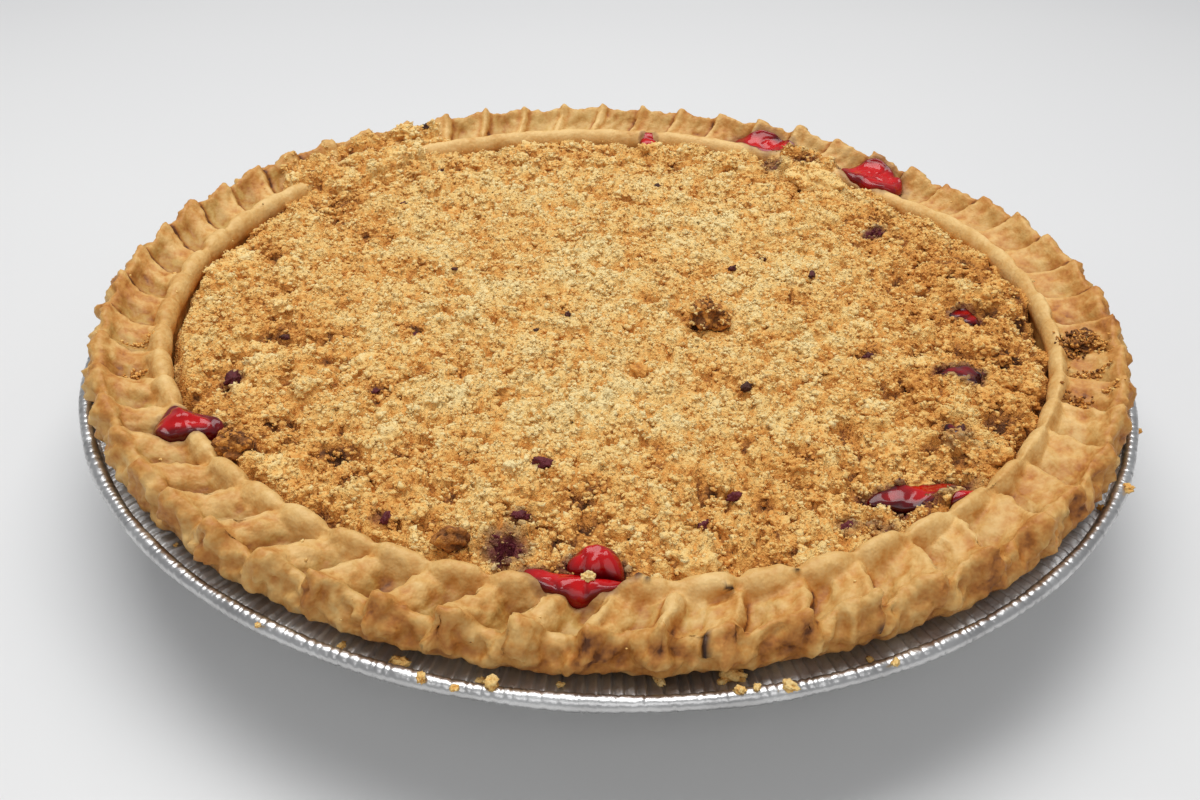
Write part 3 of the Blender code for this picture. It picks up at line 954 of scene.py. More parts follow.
def makeCore():
    random = np.random.default_rng(21)
    x, y = discPlaces(crumbs["divisions"])
    reach, angle = np.hypot(x, y), np.arctan2(y, x)
    radius = (crumbs["edgeRadius"] + rimStretch(angle)) * reach
    shake = crumbs["shake"] * np.minimum(1, (1 - reach) * 60)
    x = radius * np.cos(angle) + shake * random.uniform(-1, 1, len(x))
    y = radius * np.sin(angle) + shake * random.uniform(-1, 1, len(y))
    relief, clumpToneAndShade = coreRelief(x, y)
    height = crumbHeight(x, y) + relief
    # the crumbs fall away beside the roll, or rise over it
    nearEdge = 1 - smoothStep(0.2, crumbs["gapWidth"], crumbs["edgeRadius"] * (1 - reach))
    height = height - nearEdge * aroundTable(angle, crumbs["gapBesideRoll"]) * crumbs["gapDepth"]
    for spot in cherrySpots.values():
        height = height - crumbs["cherryDip"] * (1 - smoothStep(0.85, 1.15, spotShare(x, y, spot)))
    for stainX, stainY, size, amount in tones["stainSpots"]:
        height = height - crumbs["stainDip"] * amount * spotFade(x, y, stainX, stainY, 0.6 * size)
    points = np.stack([x, y, height], 1)
    quads, border = sheetFaces(crumbs["divisions"] + 1, crumbs["divisions"] + 1)
    levels = (crumbs["edgeHeight"] - crumbs["skirt"], crumbs["bottom"])
    skirt = [points[border] * (1, 1, 0) + (0, 0, level) for level in levels]
    allPoints = np.concatenate([points, *skirt, [(0, 0, crumbs["bottom"])]])
    upper, lower = (len(points) + i * len(border) + np.arange(len(border)) for i in (0, 1))
    bottom = fanFaces(lower, len(allPoints) - 1, False)
    faces = [quads, wallFaces(border, upper), wallFaces(upper, lower), bottom]
    addCrumbSheet("crumbCore", allPoints, faces, relief, clumpToneAndShade, "crumb_topping")
    return points


def addCrumbSheet(name, points, faces, relief, clumpToneAndShade, *nodes):
    tone = toastAndSideShadeAt(points)
    # painted shade: darker where the relief lies low, paler where it stands high
    tone[: len(relief)] += clumpToneAndShade - 0.07 * relief
    keep(addPiece(name, points, faces, coreLook, {"tone": tone, "stain": stainAt(points)}), "crumb", *nodes)


corePoints = makeCore()
print("crumb core made")

# Height of whatever lies on top, so that each kind of crumb rests on those before it

tops = {"step": 0.5, "half": 118.0}
topMap = np.full((int(2 * tops["half"] / tops["step"]) + 1,) * 2, -1.0)


def mapCell(x, y):
    places = (np.round((values + tops["half"]) / tops["step"]).astype(int) for values in (x, y))
    return tuple(np.clip(place, 0, len(topMap) - 1) for place in places)


def raiseTops(points):
    np.maximum.at(topMap, mapCell(points[:, 0], points[:, 1]), points[:, 2])


def smoothTops(reach):
    # the map averaged over squares that reach this many cells either way
    total = np.pad(topMap, reach, mode="edge")
    total = np.pad(total.cumsum(0).cumsum(1), ((1, 0), (1, 0)))
    size = 2 * reach + 1
    return (total[size:, size:] - total[:-size, size:] - total[size:, :-size] + total[:-size, :-size]) / size**2


def fillTops():
    # closes the cells that no point fell in
    while (topMap < 0).any():
        padded = np.pad(topMap, 1, mode="edge")
        around = np.maximum.reduce([padded[:-2, 1:-1], padded[2:, 1:-1], padded[1:-1, :-2], padded[1:-1, 2:]])
        empty = topMap < 0
        if not (around[empty] > 0).any():
            break
        topMap[empty] = around[empty]


raiseTops(corePoints)
raiseTops(crustPoints)
fillTops()

# Crumbs heaped over the rim: at the back left out to its edge, at the back right over the roll

spills = {
    # first and last angle, angle from which the roll is covered, reach, thickness of the heap
    "crumbSpill": {
        "start": 116.5, "finish": 147.5, "overRoll": 124.5, "inside": 100.0, "outside": 121.6, "thickness": 2.6,
    },
    "crumbSpillRight": {
        "start": 49.0, "finish": 62.0, "overRoll": 0.0, "inside": 97.0, "outside": 112.5, "thickness": 2.8,
    },
}
spillMesh = {"perDegree": 5.2, "perLength": 2.3, "under": 4.0, "soft": 2.2, "rollOutside": 111.0}


def spillShare(heap, radius, angle):
    # 1 where crumbs cover the rim, falling to 0 at the ends of the heap
    wave = 1.6 * noiseAt(onFlat(radius * np.cos(angle), radius * np.sin(angle)), 6, 29)
    turn = np.degrees(angle) % 360 + wave
    start, finish, outside = heap["start"], heap["finish"], heap["outside"]
    ends = smoothStep(start, start + 3, turn) * (1 - smoothStep(finish - 3, finish, turn))
    overRoll = smoothStep(heap["overRoll"] - 1.5, heap["overRoll"] + 1.5, turn)
    overRoll = np.maximum(overRoll, smoothStep(-1, 1, radius + wave - spillMesh["rollOutside"]))
    edge = 1 - smoothStep(outside - spillMesh["soft"], outside, radius + 0.3 * wave)
    return ends * overRoll * edge


def makeSpill(name, heap):
    columns = int((heap["finish"] - heap["start"] + 6) * spillMesh["perDegree"])
    rows = int((heap["outside"] - heap["inside"] + 0.5) * spillMesh["perLength"])
    turns = np.radians(np.linspace(heap["start"] - 3, heap["finish"] + 3, columns))
    radii = np.linspace(heap["inside"], heap["outside"] + 0.5, rows)
    radius, angle = (part.ravel() for part in np.meshgrid(radii, turns, indexing="ij"))
    x, y = radius * np.cos(angle), radius * np.sin(angle)
    relief, clumpToneAndShade = coreRelief(x, y)
    ground = smoothTops(4)[mapCell(x, y)]
    share = spillShare(heap, radius, angle)
    height = ground - 2.0 + share * (2.0 + heap["thickness"] + 0.75 * relief)
    top = np.stack([x, y, height], 1)
    quads, border = sheetFaces(rows, columns)
    faces = [quads, quads[:, ::-1] + len(top), wallFaces(border, border + len(top))]
    allPoints = np.concatenate([top, top - (0, 0, spillMesh["under"])])
    addCrumbSheet(name, allPoints, faces, relief, clumpToneAndShade)
    raiseTops(top)


for heapName, heap in spills.items():
    makeSpill(heapName, heap)
print("crumbs over the rim made")


# Large lumps


def makeLumps():
    ball, faces = ballShape(5)
    for seed, (name, spot) in enumerate(lumpSpots.items()):
        # an uneven ball with the spot's half-sizes, then knobs of two sizes on it
        swell = 1 + 0.22 * noiseAt(ball * 1.3, 1.0, seed + 60)
        swell = swell + 0.35 * 0.22 * noiseAt(ball * 3.1, 1.0, seed + 61)
        local = ball * swell[:, None] * spot["half"]
        points = turnedBy(local, math.radians(spot["turn"])) + spot["place"]
        out = points - spot["place"]
        out = out / np.linalg.norm(out, axis=1, keepdims=True)
        near, _, mark = cellsAt(points, 1.3, seed + 70)
        bigNear, _, bigMark = cellsAt(points, 3.0, seed + 75)
        push = 0.55 * (0.45 - near) + 0.25 * (mark - 0.5) + 0.2 * noiseAt(points, 0.9, seed + 71)
        push = push + 0.8 * (0.45 - bigNear) + 0.5 * (bigMark - 0.5)
        points = points + out * push[:, None]
        tone = spot["toast"] + 0.2 * (mark - 0.5) - spot["specks"] * (mark > 0.7) + 0.1 * (bigMark - 0.5)
        # painted shade in the hollows between the knobs, paler on the knobs
        fields = {"tone": tone - 0.12 * push, "stain": tone * 0 + spot["stain"]}
        piece = addPiece(name.replace("crumb_lump", "crumbLump"), points, [faces], grainLook, fields)
        keep(piece, spot["slot"], name)
        raiseTops(points)


makeLumps()
print("large lumps made")


scatter = {
    # how many, smallest and largest radius, lean towards small ones, shape detail, lumpiness and size of the
    # knobs, how far each stands out, tone change and its spread, how much more lie in the coarse areas
    "crumbClumps": {
        "count": 150, "radius": (2.0, 4.0), "lean": 1.3, "detail": 4, "lumpy": 0.5, "cells": 0.42,
        "proud": -0.4, "tone": 0.03, "spread": 0.03, "coarse": 14.0,
    },
    "crumbBits": {
        "count": 9700, "radius": (0.5, 1.1), "lean": 1.6, "detail": 1, "lumpy": 0.85, "cells": 0.6,
        "proud": -0.45, "tone": 0.0, "spread": 0.03, "coarse": 0.0,
    },
    "crumbSpecks": {
        "count": 9700, "radius": (0.35, 0.7), "lean": 1.2, "detail": 1, "lumpy": 0.8, "cells": 0.6,
        "proud": -0.3, "tone": -0.01, "spread": 0.04, "coarse": 0.0,
    },
    "crumbGrains": {
        "count": 22000, "radius": (0.2, 0.42), "lean": 1.2, "detail": 0, "lumpy": 0.3, "cells": 0.6,
        "proud": 0.05, "tone": -0.02, "spread": 0.06, "coarse": 0.0,
    },
}
crumbStretch = ((0.8, 1.25), (0.7, 1.2), (0.55, 0.9))  # least and most stretch of a crumb each way
strayShare = 0.004  # chance that a small crumb lies out on the rim, beside 1 for one on the topping


def lumpyShapes(detail, lumpy, cells, seed, count):
    # uneven balls, each with painted shade that is darker in its hollows and towards its own underside
    ball, faces = ballShape(detail) if detail else octahedronShape()
    shapes, shades = [], []
    for variant in range(count):
        places = ball + variant * 7.3
        near = cellsAt(places, cells, seed)[0]
        push = 0.5 * noiseAt(places, 0.9, seed + 1) + (0.45 - near) + 0.4 * noiseAt(places, 0.35, seed + 2)
        push = lumpy * push
        shapes.append(ball * (1 + push)[:, None])
        shades.append(-0.5 * push - 0.06 * ball[:, 2])
    return np.array(shapes), np.array(shades), faces


def crumbPlaces(kind, random):
    # even but irregular places over the topping, and a few on the rim
    tries = 40 * kind["count"]
    small, large = kind["radius"]
    radius = spills["crumbSpill"]["outside"] * np.sqrt(random.random(tries))
    angle = random.uniform(0, math.tau, tries)
    x, y = radius * np.cos(angle), radius * np.sin(angle)
    inner = crumbs["edgeRadius"] + rimStretch(angle) - 0.8 * small - 0.6
    onRim = np.maximum.reduce([spillShare(heap, radius, angle) for heap in spills.values()]) > 0.4
    chance = np.where(radius < inner, 1.0, 1.0 * onRim + strayShare * (large < 0.9))
    chance = chance * (1 + kind["coarse"] * coarseShare(x, y)) / (1 + kind["coarse"])
    gap = np.clip(aroundTable(angle, crumbs["gapBesideRoll"]), 0, 2) * (small > 0.3)
    chance = chance * ((radius < inner - gap) | (radius > inner + 2) | onRim)
    # crumbs stick to the clumps and leave the hollows between them open
    hollow = (smoothTops(5) - topMap)[mapCell(x, y)]
    chance = chance * (1 - 0.8 * smoothStep(-0.1, 0.9, hollow))
    for spot in cherrySpots.values():
        chance = chance * (spotShare(x, y, spot) > 1 + 0.12 * small)
    keepers = random.random(tries) < chance
    x, y = x[keepers], y[keepers]
    # of two that lie too close the later one goes
    apart = small * 1.1
    kept, taken = [], {}
    cells = zip((x // apart).astype(int).tolist(), (y // apart).astype(int).tolist())
    for i, (column, row) in enumerate(cells):
        around = [taken.get((column + a, row + b)) for a in (-1, 0, 1) for b in (-1, 0, 1)]
        if all(j is None or (x[i] - x[j]) ** 2 + (y[i] - y[j]) ** 2 > apart**2 for j in around):
            kept.append(i)
            taken[(column, row)] = i
        if len(kept) == kind["count"]:
            break
    return x[kept], y[kept]


def makeLooseCrumbs():
    for seed, (name, kind) in enumerate(scatter.items()):
        random = np.random.default_rng(100 + seed)
        x, y = crumbPlaces(kind, random)
        count = len(x)
        small, large = kind["radius"]
        sizes = small + (large - small) * random.random(count) ** kind["lean"]
        places = np.stack([x, y, topMap[mapCell(x, y)] + sizes * kind["proud"]], 1)
        form = (kind["detail"], kind["lumpy"], kind["cells"])
        shapes, shades, faces = lumpyShapes(*form, 80 + seed, crumbs["variants"])
        which = random.integers(0, len(shapes), count)
        stretch = np.stack([random.uniform(*limits, count) for limits in crumbStretch], 1)
        local = np.einsum("cij,cvj->cvi", randomTurns(random, count), shapes[which])
        local = local * (stretch * sizes[:, None])[:, None]
        points = (local + places[:, None]).reshape(-1, 3)
        corners = faces[None] + np.arange(count)[:, None, None] * shapes.shape[1]
        tone = toastAndSideShadeAt(places)
        burnt = tone > crumbs["burntTone"]
        tone = tone + kind["tone"] + random.normal(0, kind["spread"], count) * (1 + 2 * burnt)
        tone = tone - random.uniform(0.15, 0.55, count) * burnt * (random.random(count) > 0.68)
        stain = stainAt(places) * random.uniform(0.6, 1.2, count)
        raiseTops(points)
        # painted shade: a crumb lying lower than those around it is darker, on top of the painted shade of its
        # shape
        hollow = np.clip(smoothTops(5)[mapCell(points[:, 0], points[:, 1])] - points[:, 2], -1.5, 2.5)
        tone = (tone[:, None] + shades[which]).ravel() + 0.08 * hollow
        fields = {"tone": tone, "stain": np.repeat(stain, shapes.shape[1])}
        piece = addPiece(name, points, [corners.reshape(-1, 3)], grainLook, fields, kind["detail"] > 1)
        keep(piece, "crumb")
        print(name, count)


makeLooseCrumbs()
print("loose crumbs scattered")


# Cherries and gel


gel = {
    "around": 120,
    "across": 26,
    "rimDepth": 0.7,
    "underside": 1.0,
    "creaseDepth": 0.35,
    "groundBlur": 1.5,
    "levelBlur": 4.0,
    "depth": 0.6,  # how much the colour deepens towards the rim
    "patches": (260.0, 0.5, 900.0, 0.1),
    "colours": ((0.0, (196, 5, 9)), (0.35, (160, 3, 7)), (0.65, (104, 3, 9)), (1.0, (44, 5, 12))),
    "waveScale": 300.0,
    "bump": (0.15, 0.0006),
}
groundPoints = np.concatenate([corePoints, crustPoints])


def gelLook():
    look, tree, shader = newLook(
        "cherry gel", Roughness=0.16, Specular_IOR_Level=0.45,
        Subsurface_Weight=0.15, Subsurface_Radius=(1.0, 0.06, 0.05), Subsurface_Scale=0.0015,
    )
    colour = mottledColour(tree, "depth", gel["patches"], gel["colours"])
    linkLook(tree, shader, colour, addNoise(tree, gel["waveScale"]), gel["bump"])
    return look


def groundHeight(x, y, blur):
    # the mean height of the crumbs and the rim near each place
    near = groundPoints[:, 2] > 34
    for line, values in zip(groundPoints.T, (x, y)):
        near &= (line > values.min() - 3 * blur) & (line < values.max() + 3 * blur)
    ground = groundPoints[near]
    squares = (x[:, None] - ground[:, 0]) ** 2 + (y[:, None] - ground[:, 1]) ** 2
    weights = np.exp(-squares / blur**2) + 1e-12
    return (weights * ground[:, 2]).sum(1) / weights.sum(1)


def gelShape(spot, seed):
    # a drop of gel: a dome over the outline that follows the ground, closed by a flat underside
    around, across = gel["around"], gel["across"]
    middleX, middleY, _ = spot["place"]
    turns = np.arange(around) * math.tau / around
    share = np.repeat(np.linspace(0, 1, across + 1)[1:], around)
    turn = np.tile(turns, across)
    radius = share * np.tile(outlineRadius(turns, spot["outline"]), across)
    x, y = middleX + radius * np.cos(turn), middleY + radius * np.sin(turn)
    ground = groundHeight(x, y, gel["groundBlur"])
    level = groundHeight(np.array([middleX]), np.array([middleY]), gel["levelBlur"])
    dome = np.sqrt(np.clip(1 - share ** spot["plump"], 0, 1))
    base = mixed(level, ground, np.maximum(spot["drape"], share**2))
    flat = onFlat(x, y)
    wave = addNoises(0, flat, ((4.2, 0.2, seed), (1.8, 0.08, seed + 1)))
    crease = np.exp(-((noiseAt(flat, 7.0, seed + 2) / 0.16) ** 2)) * dome
    leanX, leanY = spot.get("lean", (0, 0))
    leaning = dome * (leanX * (x - middleX) + leanY * (y - middleY))
    z = base + spot["sink"] + spot["height"] * dome * (1 + wave)
    z = z - gel["rimDepth"] - gel["creaseDepth"] * crease + leaning
    top = np.stack([x, y, z], 1)
    edge = top[-around:]
    bottom = edge[:, 2].min() - gel["underside"]
    poles = [(middleX, middleY, top[:around, 2].mean()), (middleX, middleY, bottom)]
    points = np.concatenate([top, edge * (1, 1, 0) + (0, 0, bottom), poles])
    faces = closedFaces(across + 1, around, len(points) - 2, len(points) - 1, True)
    body = smoothStep(0.45, 1.05, share) + 0.5 * crease + 0.3 * noiseAt(flat, 4.0, seed + 3)
    depth = np.concatenate([body, np.ones(around + 2)])
    depth[len(points) - 2] = 0
    return points, faces, depth * gel["depth"] + spot["dark"]


gelBits = {
    # small pieces of gel between the crumbs: their places, and the rest as above
    "cherrySmear": {
        "place": (72.2, -75.4, 0),
        "outline": (
            (33, 5.4), (60, 1.9), (120, 1.2), (170, 1.6), (212, 5.0), (240, 1.8), (300, 1.3), (350, 1.9),
        ),
        "height": 1.2, "plump": 1.8, "dark": 0.0, "drape": 0.9, "sink": 1.3,
    },
    "cherryDrop": {
        "place": (73.6, -55.2, 0), "outline": ((0, 2.4), (70, 2.0), (130, 2.6), (200, 1.7), (280, 2.4)),
        "height": 1.0, "plump": 1.8, "dark": 0.75, "drape": 0.9, "sink": 1.4,
    },
}


def makeGel(name, spot, seed, look, *nodes):
    points, faces, depth = gelShape(spot, seed)
    keep(addPiece(name, points, faces, look, {"depth": depth}), "cherry", *nodes)
    return points


def makeCherries():
    look = gelLook()
    for seed, (name, spot) in enumerate(cherrySpots.items()):
        raiseTops(makeGel(name.replace("cherry", "cherryGel"), spot, seed + 40, look, name))
    for seed, (name, spot) in enumerate(gelBits.items()):
        makeGel(name, spot, seed + 55, look)


makeCherries()
print("cherries made")


# Small dark bits of cherry and burnt crumb on the topping, and crumbs fallen on the rim and the foil

bits = {
    "colours": ((0.2, (74, 48, 36)), (0.5, (84, 46, 38)), (0.8, (92, 40, 44)), (1.0, (104, 40, 46))),
    "grit": (1500.0, 3600.0),
    "bump": (0.6, 0.0008),
    "forms": {  # detail, lumpiness, seed, lift and shape
        "darkBits": (3, 0.75, 91, -0.1, (0.9, 0.55, 0.5)),
        "brownCrumbs": (4, 0.45, 92, 0.15, (1, 0.75, 0.7)),
        "fallenCrumbs": (3, 0.6, 93, 0.35, (1, 0.75, 0.6)),
        "rimCrumbs": (1, 0.6, 95, 0.25, (1, 0.8, 0.75)),
    },
    "dark": (  # x, y, half-length, turn, how reddish
        (30.0, -41.6, 1.7, 20, 0.1), (-10.4, -11.3, 1.3, 60, 0.2), (-17.6, -17.8, 0.9, 0, 0.1),
        (31.4, 16.2, 1.3, 30, 0.4), (-84.5, -39.8, 2.6, 70, 0.6), (-59.8, 103.4, 1.5, 0, 0.0),
        (-89.1, 71.0, 1.8, 20, 0.4), (13.0, 67.1, 1.5, 0, 0.1), (-52.0, 74.8, 1.4, 40, 0.3),
        (-58.9, 47.5, 1.2, 0, 0.6), (40.0, 22.0, 1.2, 0, 0.2), (51.6, 12.5, 1.5, 70, 0.4),
        (-13.3, -70.3, 2.2, -25, 0.9), (-76.7, -22.3, 1.4, 0, 0.3), (-51.8, -44.9, 1.3, 40, 0.6),
        (-46.8, -19.2, 1.5, 10, 0.7), (74.8, -55.0, 2.4, 60, 0.4), (60.4, -24.8, 1.8, 0, 0.5),
        (-42.4, -88.6, 1.8, 70, 0.9), (-40.5, 12.0, 0.9, 0, 0.3), (25.0, -78.7, 1.6, 30, 0.9),
        (-19.0, -95.4, 1.9, 0, 0.9), (-16.9, -86.5, 1.7, 0, 0.8), (71.4, 40.6, 1.8, 20, 0.7),
        (46.6, -85.2, 1.8, 60, 0.9), (-12.6, 40.8, 1.0, 0, 0.2), (18.4, -87.2, 1.4, 40, 0.8),
    ),
    "brown": (  # x, y, half-length, turn, tone
        (6.8, -35.9, 2.8, -60, 0.72), (-29.0, -95.0, 3.4, 10, 0.92), (-3.4, -104.6, 1.6, 0, 0.2),
    ),
    "onRim": (  # patches of fine crumbs: x, y, reach outward, reach along the rim, count, tone
        (110.4, -17.6, 3.4, 3.6, 420, 0.88), (115.6, -18.6, 2.6, 2.8, 90, 0.66),
        (111.0, -27.4, 4.0, 1.4, 110, 0.74), (105.4, -38.6, 2.6, 2.2, 90, 0.78),
        (112.4, -38.4, 2.4, 0.9, 24, 0.5), (-110.6, -24.5, 3.4, 1.4, 40, 0.55),
        (-107.5, -37.0, 3.0, 1.2, 40, 0.6),
    ),
    "fallen": (  # x, y, half-length, tone
        (-36.3, -115.9, 1.5, 0.5), (-21.4, -119.8, 1.1, 0.35), (-31.5, -122.2, 1.2, 0.4),
        (-19.1, -123.4, 1.5, 0.35), (-25.6, -124.0, 0.9, 0.4), (-47.4, -112.3, 1.0, 0.45),
        (9.7, -118.4, 1.3, 0.3), (22.6, -116.8, 2.2, 0.45), (20.9, -118.0, 1.0, 0.4), (26.2, -122.4, 0.9, 0.35),
        (31.9, -121.9, 1.4, 0.3), (23.3, -123.2, 1.1, 0.35), (51.3, -115.4, 0.9, 0.3),
        (47.8, -111.9, 0.8, 0.35), (110.2, -62.6, 1.5, 0.5), (121.6, -37.6, 0.9, 0.6),
        (-62.5, -110.2, 0.8, 0.45), (104.2, -66.4, 1.0, 0.6), (-7.7, -120.0, 0.7, 0.35),
        (-85.0, -86.0, 0.6, 0.4),
    ),
}


def bitLook():
    look, tree, shader = newLook("dark bit", Roughness=0.6, Specular_IOR_Level=0.25)
    cloud = addMath(tree, "MULTIPLY", addNoise(tree, 900.0, 2.0), 0.5)
    colour = addRamp(tree, addMath(tree, "ADD", fieldValue(tree, "tone"), cloud), bits["colours"])
    linkLook(tree, shader, colour, gritHeight(tree, *bits["grit"]), bits["bump"])
    return look


def scatterBits(name, rows, look):
    # one mesh of small uneven pieces at stated places, each lying on what is below it
    detail, lumpy, seed, lift, shape = bits["forms"][name]
    random = np.random.default_rng(seed)
    shapes, shades, faces = lumpyShapes(detail, lumpy, 0.6, seed, len(rows))
    parts = []
    for local, (x, y, half, turn, _) in zip(shapes, rows):
        local = local * half * np.array(shape) * random.uniform(0.85, 1.15, 3)
        parts.append(turnedBy(local, math.radians(turn)) + (x, y, topMap[mapCell(x, y)] + lift * half))
    points = np.concatenate(parts)
    corners = np.concatenate([faces + i * shapes.shape[1] for i in range(len(rows))])
    # each bit keeps the painted shade of its shape
    tone = np.concatenate([row[-1] + shade for row, shade in zip(rows, shades)])
    fields = {"tone": tone, "stain": stainAt(points) * (tone > 0.6)}
    keep(addPiece(name, points, [corners], look, fields), "crumb")


def foilTop(radius):
    # height of the pan's flange and of its bead
    outward = abs(radius - beadCentre)
    return beadHeight - 1.7 if outward > beadRadius else beadHeight + math.sqrt(beadRadius**2 - outward**2)


def makeBits():
    scatterBits("darkBits", bits["dark"], bitLook())
    scatterBits("brownCrumbs", bits["brown"], grainLook)
    fallen = [(x, y, half, i * 50.0, tone) for i, (x, y, half, tone) in enumerate(bits["fallen"])]
    for x, y, *rest in fallen:
        topMap[mapCell(x, y)] = foilTop(math.hypot(x, y))
    scatterBits("fallenCrumbs", fallen, grainLook)
    random = np.random.default_rng(94)
    grains = []
    for x, y, outward, along, count, tone in bits["onRim"]:
        turn = math.atan2(y, x)
        for _ in range(count):
            a, b = outward * random.normal(0, 0.5), along * random.normal(0, 0.5)
            grainX = x + a * math.cos(turn) - b * math.sin(turn)
            grainY = y + a * math.sin(turn) + b * math.cos(turn)
            half, grainTurn = random.uniform(0.25, 0.6), random.uniform(0, 360)
            grains.append((grainX, grainY, half, grainTurn, tone + random.normal(0, 0.14)))
    scatterBits("rimCrumbs", grains, grainLook)


makeBits()
print("dark bits and fallen crumbs made")


# Foil pan

pan = {
    "columns": 2760,
    "foil": 0.14,
    "pleats": 318,
    "crimps": 460,
    "wallPleat": 0.5,
    "flangePleat": 0.55,
    "beadCrimp": 0.26,
    "pleatUneven": 0.3,
    "crimpUneven": 0.6,
    "crimpLean": 0.003,
    "colours": ((0.3, (188, 187, 186)), (0.7, (222, 222, 221))),
    "gloss": (0.22, 0.4),
    "cloudScale": 90.0,
    "creaseScale": 650.0,
    "bump": (0.35, 0.0005),
}


def foldEdges(random, count, unevenness):
    widths = random.uniform(1 - unevenness, 1 + unevenness, count)
    return np.concatenate([[0], np.cumsum(widths)]) / widths.sum() * math.tau


def inFold(angles, edges):
    # which fold an angle is in, and how far through it, from 0 to 1
    turned = np.mod(angles, math.tau)
    which = np.clip(np.searchsorted(edges, turned, side="right") - 1, 0, len(edges) - 2)
    return which, (turned - edges[which]) / (edges[which + 1] - edges[which])


def pleatWave(angles, edges, tilts):
    # foil folded over on itself: each pleat is a tilted strip with a quick step to the next
    which, phase = inFold(angles, edges)
    crease = np.exp(-((np.minimum(phase, 1 - phase) / 0.1) ** 2))
    step = (phase > 0.82) * (phase - 0.82) / 0.18 * tilts[which]
    return (np.clip(phase / 0.82, 0, 1) - 0.5) * tilts[which] - step - 0.7 * crease


def crimpWave(angles, edges, depths):
    # the bead's segments, each a little in or out, with narrow creases between them
    which, phase = inFold(angles, edges)
    crease = np.exp(-((np.minimum(phase, 1 - phase) / 0.16) ** 2))
    tilt = (phase - 0.5) * np.sin(which * 7.7) * 0.9
    return -0.7 * crease * depths[which] + tilt + 0.35 * np.sin(which * 12.9)


def panRows():
    # radius, height, pleat share, bead share; from the middle of the base round the bead and back
    low = beadHeight - 1.9  # the flange's underside
    top = low + pan["foil"]
    bead = [
        (beadCentre + beadRadius * math.cos(turn), beadHeight + beadRadius * math.sin(turn), 0.15, 1)
        for turn in np.radians(np.linspace(-140, 205, 11))
    ]
    return np.array([
        (78, 1.2, 0, 0), (79, 0.5, 0, 0), (80, 0, 0, 0), (92.6, 0, 0.05, 0), (94.2, 0.3, 0.2, 0),
        (95, 1.2, 0.4, 0),
        *((95 + 20 * t, 1.2 + 26.9 * t, 0.4 + 0.6 * t, 0) for t in (0.2, 0.6, 0.97)),
        (115.2, low - 0.1, 1, 0), (116, low, 1, 0), (119, low, 1, 0), (122, low, 1, 0),
        (123.2, low - 0.3, 0.8, 0),
        *bead,
        (123.7, top - 0.5, 0.3, 0), (123.1, top - 0.3, 0.8, 0), (122.2, top, 1, 0), (119.5, top, 1, 0),
        (117, top, 1, 0), (115, low - 0.1, 1, 0), (94.8, 1.3, 0.4, 0), (93.8, 0.5, 0.2, 0),
        (92.6, 0.14, 0.05, 0), (80, 0.14, 0, 0), (78, 1.34, 0, 0),
    ], float)


def foilLook():
    look, tree, shader = newLook("pan foil", Metallic=1.0, Roughness=0.3)
    cloud = addNoise(tree, pan["cloudScale"], 4.0)
    gloss = addNode(tree, "MapRange", {"Value": cloud, "To Min": pan["gloss"][0], "To Max": pan["gloss"][1]})
    dull = addMath(tree, "MULTIPLY", fieldValue(tree, "pleated"), 0.2)
    tree.links.new(addMath(tree, "ADD", gloss.outputs[0], dull), shader["Roughness"])
    creases = addNoise(tree, pan["creaseScale"], 3.0)
    linkLook(tree, shader, addRamp(tree, cloud, pan["colours"]), creases, pan["bump"])
    return look


def makePan():
    random = np.random.default_rng(51)
    rows = panRows()
    columns = pan["columns"]
    angle = np.arange(columns)[None] * math.tau / columns
    radius, height, pleat, bead = (rows[:, i][:, None] for i in range(4))
    pleatEdges = foldEdges(random, pan["pleats"], pan["pleatUneven"])
    folds = pleatWave(angle, pleatEdges, random.uniform(0.5, 1.3, pan["pleats"]))
    crimpEdges = foldEdges(random, pan["crimps"], pan["crimpUneven"])
    leaning = angle + (height - beadHeight) * pan["crimpLean"]
    crimps = crimpWave(leaning, crimpEdges, random.uniform(0.15, 1.1, pan["crimps"]))
    wall = (1 - bead) * smoothStep(1.0, 20.0, height) * (height < beadHeight - 3)
    onFlange = (1 - bead) * (height >= beadHeight - 3)
    outward, upward = (radius - beadCentre) / beadRadius, (height - beadHeight) / beadRadius
    r = radius + folds * pleat * pan["wallPleat"] * wall + crimps * bead * pan["beadCrimp"] * outward
    z = height + folds * pleat * pan["flangePleat"] * onFlange + crimps * bead * pan["beadCrimp"] * upward
    r, z = np.minimum(r, panRadius + 0.15), np.maximum(z, 0)
    points = np.stack([r * np.cos(angle), r * np.sin(angle), z], -1).reshape(-1, 3)
    allPoints = np.concatenate([points, [(0, 0, 1.2), (0, 0, 1.34)]])
    faces = closedFaces(len(rows), columns, len(points), len(points) + 1, False)
    pleated = np.pad((pleat + 0 * angle).ravel(), (0, 2))
    keep(addPiece("foilPan", allPoints, faces, foilLook(), {"pleated": pleated}), "foil", "foil_pan")


makePan()
print("foil pan made")


# Floor, light and camera

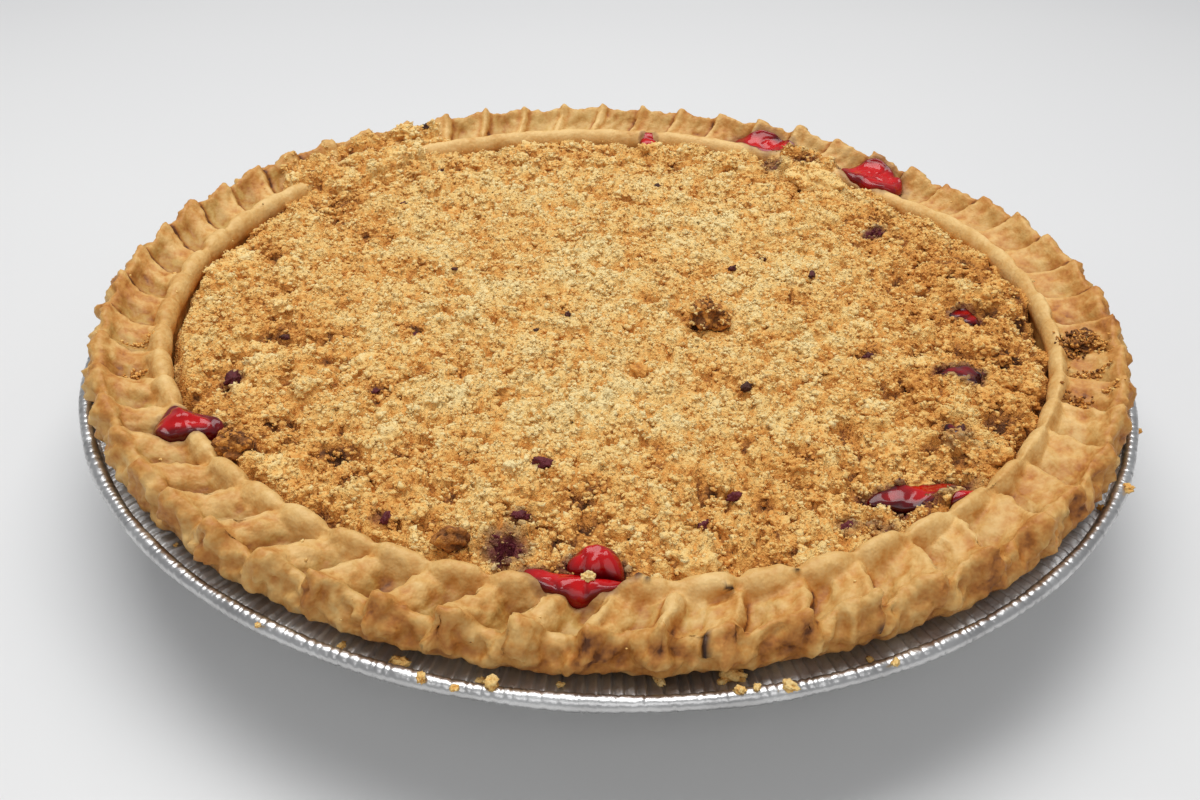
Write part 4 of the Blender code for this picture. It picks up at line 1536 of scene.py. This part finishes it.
studio = {
    "floorSize": 6.0,
    "mainLight": {"place": (-0.04, 0.18, 0.8), "aim": (0, 0, 0.03), "size": (0.8, 0.6), "power": 5.9},
    "fillLight": {"place": (0.1, -0.9, 0.75), "aim": (0, -0.1, 0.0), "size": (1.2, 0.6), "power": 2.2},
    "sky": ((0.96, 0.97, 1.0, 1.0), 0.38),  # colour and strength
    "floorColours": ((0.3, (222, 222, 222)), (0.7, (226, 226, 225))),
}


def makeFloor():
    half = studio["floorSize"] / 2 / mm
    points = [(x * half, y * half, -0.02) for x, y in ((-1, -1), (1, -1), (1, 1), (-1, 1))]
    look, tree, shader = newLook("pale floor", Roughness=0.45)
    tree.links.new(addRamp(tree, addNoise(tree, 3.0, 2.0), studio["floorColours"]), shader["Base Color"])
    addPiece("paleFloor", points, [np.array([(0, 1, 2, 3)])], look)


def addSoftLight(name, values):
    light = bpy.data.lights.new(name, "AREA")
    light.shape = "RECTANGLE"
    light.size, light.size_y = values["size"]
    light.energy = values["power"]
    lamp = bpy.data.objects.new(name, light)
    lamp.location = values["place"]
    lamp.rotation_euler = (Vector(values["aim"]) - lamp.location).to_track_quat("-Z", "Y").to_euler()
    bpy.context.scene.collection.objects.link(lamp)


def makeStudio():
    makeFloor()
    addSoftLight("main light", studio["mainLight"])
    addSoftLight("fill light", studio["fillLight"])
    world = bpy.data.worlds.new("studio")
    world.use_nodes = True
    sky = world.node_tree.nodes["Background"].inputs
    sky["Color"].default_value, sky["Strength"].default_value = studio["sky"]
    bpy.context.scene.world = world
    bpy.context.scene.view_settings.view_transform = "Standard"


camera = {"place": (-0.002107, -0.271939, 0.190679), "pitch": 33.932, "roll": 1.596, "lens": 37.236}


def makeCamera():
    data = bpy.data.cameras.new("camera")
    data.sensor_width, data.lens, data.clip_start = 36, camera["lens"], 0.01
    pitch = math.radians(camera["pitch"])
    back = Vector((0, -math.cos(pitch), math.sin(pitch)))
    right = Vector((1, 0, 0))
    stand = Matrix((right, back.cross(right), back)).transposed().to_4x4()
    stand = stand @ Matrix.Rotation(math.radians(camera["roll"]), 4, "Z")
    stand.translation = Vector(camera["place"])
    eye = bpy.data.objects.new("camera", data)
    eye.matrix_world = stand
    bpy.context.scene.collection.objects.link(eye)
    bpy.context.scene.camera = eye


makeStudio()
makeCamera()
print("floor, light and camera set")
